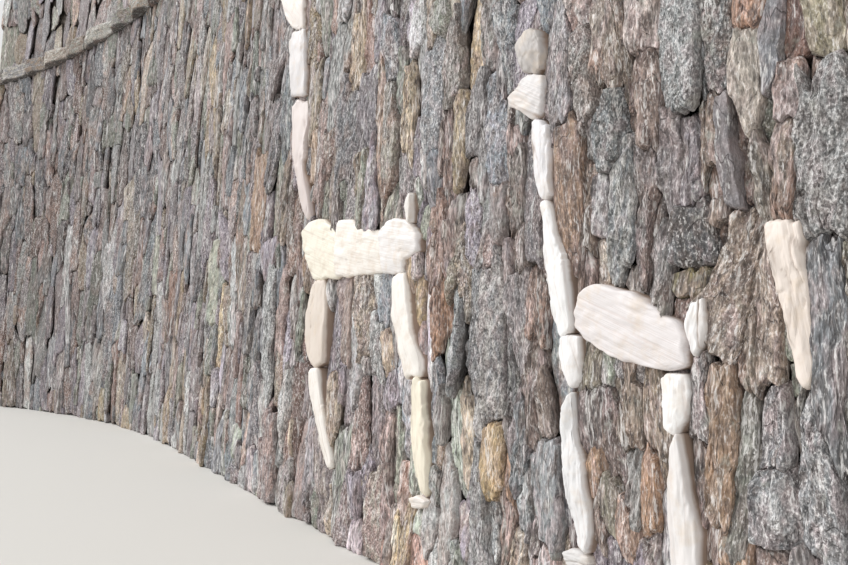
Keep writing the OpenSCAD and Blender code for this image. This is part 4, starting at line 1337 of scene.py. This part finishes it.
def shapePale(outline, tone, size, rng):
    # one outline seen from its middle, as a worn stone that stands proud of its neighbours; its
    # grain follows the longer axis of the outline
    middle = outline.mean(0)
    axis = np.linalg.svd(outline - middle)[2][0]
    axis = axis * (np.sign(axis[1]) or 1)
    along, wide = (outline - middle) @ axis, (outline - middle) @ (axis[1], -axis[0])
    stretch = np.clip(np.ptp(outline[:, 1]) / np.ptp(outline[:, 0]), 0.3, 3.5)
    reach = 1 / reachToOutlines(stretch, middle[None], [outline], np.ones(1))
    reach = 0.7 * reach + 0.15 * (np.roll(reach, 1, 1) + np.roll(reach, -1, 1)) + pale["swollen"]
    wobble = 0
    for k in range(4, 20):
        wobble = wobble + rng.normal(0, 0.006) * np.cos(k * roundAngles + rng.uniform(0, 6.3))
    stone = {
        "p": middle[0], "q": middle[1], "lean": np.arctan2(-axis[0], axis[1]),
        "halfWidth": np.ptp(wide) / 2, "halfHeight": np.ptp(along) / 2,
        "granular": 0, "streaky": 0, "mottled": 0, "rust": rng.uniform(0, 0.5),
        "shiftP": rng.uniform(0, 40), "shiftQ": rng.uniform(0, 40),
        "proud": pale["proud"] + rng.uniform(0.001, 0.006), "crown": rng.uniform(0.001, 0.004),
        "tiltP": rng.normal(0, 0.04), "tiltQ": rng.normal(0, 0.02),
        "planeTurn": np.array((0, np.pi, 1.5, 4.6, 0.6)) + rng.normal(0, 0.3, 5),
        "planeStart": rng.uniform(0.1, 0.7, 5), "planeFall": abs(rng.normal(0, 0.12, 5)),
        "shear": 0, "lump": 0.001, "coarse": 1,
        "ridge": 0.0014, "step": rng.uniform(0.001, 0.006), "crevice": rng.uniform(0.0, 0.003),
        "flake": 0.0008, "swell": 0.003, "ragged": 0.0015, "edge": pale["edge"] * rng.uniform(0.6, 1.3),
        "widen": 0.001, "jointDepth": 0.022, "soiled": 0.040, "depth": 0.12, "wander": 0,
    }
    stone = {key: np.array([value], float) for key, value in stone.items()}
    stone.update({"reach": reach * (1 + wobble), "tone": linear(tone)[None], "streak": np.ones((1, 3)),
                  "smooth": True})
    return shapeStones(stone, size, 3, faceMaps["front"], stretch)


paleRng = np.random.default_rng(5)
for name, outlines in paleOutlines.items():
    cream = name == "pale_leaning_stone"
    size = 34 if outlines[0][0, 0] > 3.8 else 24
    tones = pale["tones"].get(name, [pale["white"]] * len(outlines))
    stones = [shapePale(outline, tone, size, paleRng) for outline, tone in zip(outlines, tones)]
    addPiece(name.replace("figure", "figure_stones"), stones, creamMaterial if cream else whiteMaterial,
             [name])


# Back, ends and upper lift: the same schist laid in larger stones
plain = dict(facing, stoneWidth=0.13, stoneHeight=0.33, bare=0.011, stretch=2.8, grid=5, widen=0.012)
run, runBack = (wall["runStart"], wall["runEnd"]), (-wall["runEnd"], -wall["runStart"])
lower, upper = (0.0, wall["height"]), (wall["slabTop"], wall["liftTop"])
liftInwards = (liftFrontInwards(wall["liftTop"]), liftBackInwards(wall["liftTop"]))
inside = wall["thickness"] - 0.09
# piece, slot, solid, p from and to, q from and to; the ends' stones start inside the corners
plainFaces = {
    "back": ("back_stones", "back_schist", "back_bay", runBack, lower),
    "right": ("end_stones_right", "cheek_schist", "cheek_end_right", (0.09, inside), lower),
    "left": ("end_stones_left", "cheek_schist", "cheek_end_left", (-inside, -0.09), lower),
    "liftFront": ("lift_front_stones", "upper_schist", "upper_lift_bay", run, upper),
    "liftBack": ("lift_back_stones", "upper_schist", "upper_lift_bay", runBack, upper),
    "liftTop": ("lift_top_stones", "upper_schist", "upper_lift_bay", run, liftInwards),
    "liftRight": ("lift_end_stones_right", "upper_schist", "upper_lift_bay_6", (0.06, 0.50), upper),
    "liftLeft": ("lift_end_stones_left", "upper_schist", "upper_lift_bay_1", (-0.50, -0.06), upper),
}
for number, (face, (name, slotName, solid, p, q)) in enumerate(plainFaces.items()):
    stones = stonesOn(face, dict(plain, low=(p[0], q[0]), high=(p[1], q[1])), 40 + number)
    stones["widen"] = plain["widen"] + 0 * stones["widen"]
    if p[1] - p[0] < 2:
        surface = shapeStones(stones, plain["grid"], 1, faceMaps[face], plain["stretch"])
        addPiece(name, [surface], schistMaterial, [solid])
        continue
    alongWall = stones["p"] * (-1 if face in ("back", "liftBack") else 1)
    bays = np.ceil((alongWall - wall["runStart"]) / wall["bayLength"]).astype(int).clip(1, wall["bays"])
    for bay in range(1, wall["bays"] + 1):
        surface = shapeStones(pickOf(stones, bays == bay), plain["grid"], 1, faceMaps[face], plain["stretch"])
        addPiece(f"{name}_bay_{bay}", [surface], schistMaterial, [f"{solid}_{bay}"])

# Cores behind them
behind = core["behind"]
for bay in range(1, wall["bays"] + 1):
    addCore("back_core", "back_bay", bay, lambda z: backInwards(z) - wall["backSkin"],
            lambda z: backInwards(z) - behind, 0.0, wall["height"])
    addCore("lift_core", "upper_lift_bay", bay, lambda z: liftFrontInwards(z) + behind,
            lambda z: liftBackInwards(z) - behind, wall["slabTop"], wall["liftTop"] - behind)
for name, start, stop in (("left", wall["runStart"] + behind, wall["runStart"] + wall["cheek"]),
                          ("right", wall["runEnd"] - wall["cheek"], wall["runEnd"] - behind)):
    block = coreBlock(start, stop, lambda z: frontInwards(z) + wall["frontSkin"],
                      lambda z: backInwards(z) - wall["backSkin"], 0.0, wall["height"])
    addPiece(f"end_core_{name}", [block], rubbleMaterial, [f"cheek_end_{name}"])


# Cap slabs, cut and skewed as the solids are
slab = {
    "perBay": 4,
    "gap": 0.008,
    "overhang": 0.075,
    "tail": 0.02,
    "endCut": 0.45,
    "cutShift": 0.2,
    "skew": 0.045,
    "noseVariety": 0.35,
    # section: share of the way from nose to tail along the underside, down to the bevel, and share
    # of the thickness up the nose and down the tail
    "deep": np.array([1, 0.82, 0.64, 0.46, 0.30, 0.16, 0.07, 0.013]),
    "noseRise": [0.08, 0.25, 0.42, 0.6, 0.78, 0.93],
    "tailFall": [0.7, 0.3],
    "across": np.array([0, 0.025, *np.linspace(0.08, 0.92, 13), 0.975, 1])[:, None],   # closer at the ends
    "lamina": 0.030,
    "steps": 2.5,             # laminae broken off to each step of the noise
    "riven": 0.016,
    "ragged": 0.008,
    "topUneven": 0.007,
    "endUneven": 0.003,
    "underside": 0.16,        # share of its tone left on the underside: painted shade under the overhang
    "streakShade": 0.85,
    "tones": ["BDBDB6", "93949A", "B3A08E", "9A9696", "A8AC9C", "CFCBC2"],
}


def scatter(i):
    # sin(137.5 degrees i)
    return np.sin(np.radians(137.5) * i)


def slabJoint(bay, i):
    # where the joint before slab i meets the nose line, and how far it has moved at the tail; the
    # joints between bays are straight
    loose = i % slab["perBay"] > 0
    cut = wall["bayLength"] / slab["perBay"] * (i + loose * slab["cutShift"] * scatter(7 * bay + i))
    return bayRun(bay)[0] + cut, loose * slab["skew"] * scatter(5 * bay + i + 2)


def capSlab(bay, i, rng):
    # a loop round the section (bottom, nose, top, tail) carried across the slab, with riven
    # laminae on the nose, an uneven top, and a fan at each end
    (cut0, skew0), (cut1, skew1) = slabJoint(bay, i), slabJoint(bay, i + 1)
    noses = slab["overhang"] * (1 + slab["noseVariety"] * scatter(11 * bay + 3 * i + 2 * np.arange(5)))
    noses[[0, 4]] -= slab["endCut"] * slab["overhang"]
    t, deep = slab["across"], slab["deep"]
    nose = frontInwards(wall["height"]) - np.interp(t, np.linspace(0, 1, 5), noses)
    tail = backInwards(wall["height"]) + slab["tail"]
    depth = np.concatenate((deep, np.zeros(len(slab["noseRise"])), deep[::-1], np.ones(2)))[None]
    rise = np.concatenate((0 * deep, slab["noseRise"], 0 * deep + 1, slab["tailFall"]))[None]
    inwards = nose + depth * (tail - nose)
    start, stop = cut0 + slab["gap"] / 2 + skew0 * depth, cut1 - slab["gap"] / 2 + skew1 * depth
    along = start + (stop - start) * t
    thick = wall["slabTop"] - wall["height"]
    z = wall["height"] + thick * rise
    shift = rng.uniform(0, 40, 3)
    laminae = smoothNoise(z / slab["lamina"] + shift[0], along / 0.22 + shift[1])
    laminae = np.round(slab["steps"] * laminae) / slab["steps"]
    ragged = layeredNoise(along / 0.03 + shift[0], z / 0.02 + shift[2], 2)
    onNose = np.clip(1 - depth * 8, 0, 1)
    inwards = inwards + onNose * (slab["riven"] * laminae + slab["ragged"] * ragged)
    top = smoothNoise(along / 0.12 + shift[1], inwards / 0.15)
    top = top + 0.5 * smoothNoise(along / 0.04, inwards / 0.05 + shift[2])
    z = z + slab["topUneven"] * top * (rise - 0.5) * 2
    along = along + slab["endUneven"] * ragged * ((t < 0.01) | (t > 0.99))
    grain = np.stack((z + 0 * along, along, inwards), -1).reshape(-1, 3)
    tones = np.array([linear(c) for c in slab["tones"]])
    tone, streak = tones[rng.integers(0, len(tones), 2)]
    # painted shade: the underside's tone and streak are darkened to a small share
    washed = np.where(rise == 0, slab["underside"], 1) + 0 * t
    washed = np.append(washed.ravel(), (1, 1))[:, None]
    finish = np.array((rng.uniform(0.2, 0.8), rng.uniform(0, 0.6), 0.0))
    habit = np.array((rng.uniform(0.3, 0.9), rng.uniform(0.1, 0.5), 0.0))
    whole = np.ones_like(washed)
    return dict(closedTube(placed(along, inwards, z), False),
                grain=np.concatenate((grain, grain[[0, -1]])) + shift, tone=washed * tone,
                streak=washed * streak * slab["streakShade"], finish=whole * finish, habit=whole * habit)


slabRng = np.random.default_rng(8)
for bay in range(1, wall["bays"] + 1):
    slabs = [capSlab(bay, i, slabRng) for i in range(slab["perBay"])]
    addPiece(f"cap_slab_stones_bay_{bay}", slabs, schistMaterial, [f"cap_slabs_bay_{bay}"])

# Solids that no piece replaces keep their shape: the hearting, in packed rubble
for solid in bpy.data.objects:
    if solid.name in frame["nodes"] and solid.type == "MESH":
        solid.data.materials.clear()
        solid.data.materials.append(rubbleMaterial if solid.name.startswith("heart") else schistMaterial)

# Plain studio: pale floor, soft key from the open side, even sky
studio = {
    "floor": "D9D7D2",
    "floorReach": 60,         # m each way
    "floorLevel": -0.002,     # m, under the wall's foot
    "sky": 0.81,
    "key": 2.03,
    "keySize": 35.0,          # degrees across
    "keyDown": 52.0,
    "keyTurn": -55.0,
}
corners = [(x * studio["floorReach"], y * studio["floorReach"], studio["floorLevel"])
           for x, y in ((-1, -1), (1, -1), (1, 1), (-1, 1))]
floorMesh = bpy.data.meshes.new("floor")
floorMesh.from_pydata(corners, [], [(0, 1, 2, 3)])
floor = bpy.data.objects.new("floor", floorMesh)
bpy.context.collection.objects.link(floor)
floorMaterial, floorTree = newMaterial("pale matt floor")
floorShader = addNode(floorTree, "ShaderNodeBsdfPrincipled", None, {
    "Roughness": 0.9, "Base Color": studio["floor"]})
addNode(floorTree, "ShaderNodeOutputMaterial", None, {"Surface": floorShader})
floorMesh.materials.append(floorMaterial)
world = bpy.data.worlds.new("even sky")
world.use_nodes = True
world.node_tree.nodes["Background"].inputs[0].default_value = (1.0, 1.0, 1.0, 1)
world.node_tree.nodes["Background"].inputs[1].default_value = studio["sky"]
bpy.context.scene.world = world
key = bpy.data.objects.new("key", bpy.data.lights.new("key", "SUN"))
key.data.energy = studio["key"]
key.data.angle = np.radians(studio["keySize"])
key.rotation_euler = (np.radians(studio["keyDown"]), 0, np.radians(studio["keyTurn"]))
bpy.context.collection.objects.link(key)
bpy.context.scene.view_settings.view_transform = "Standard"
print("studio lit")
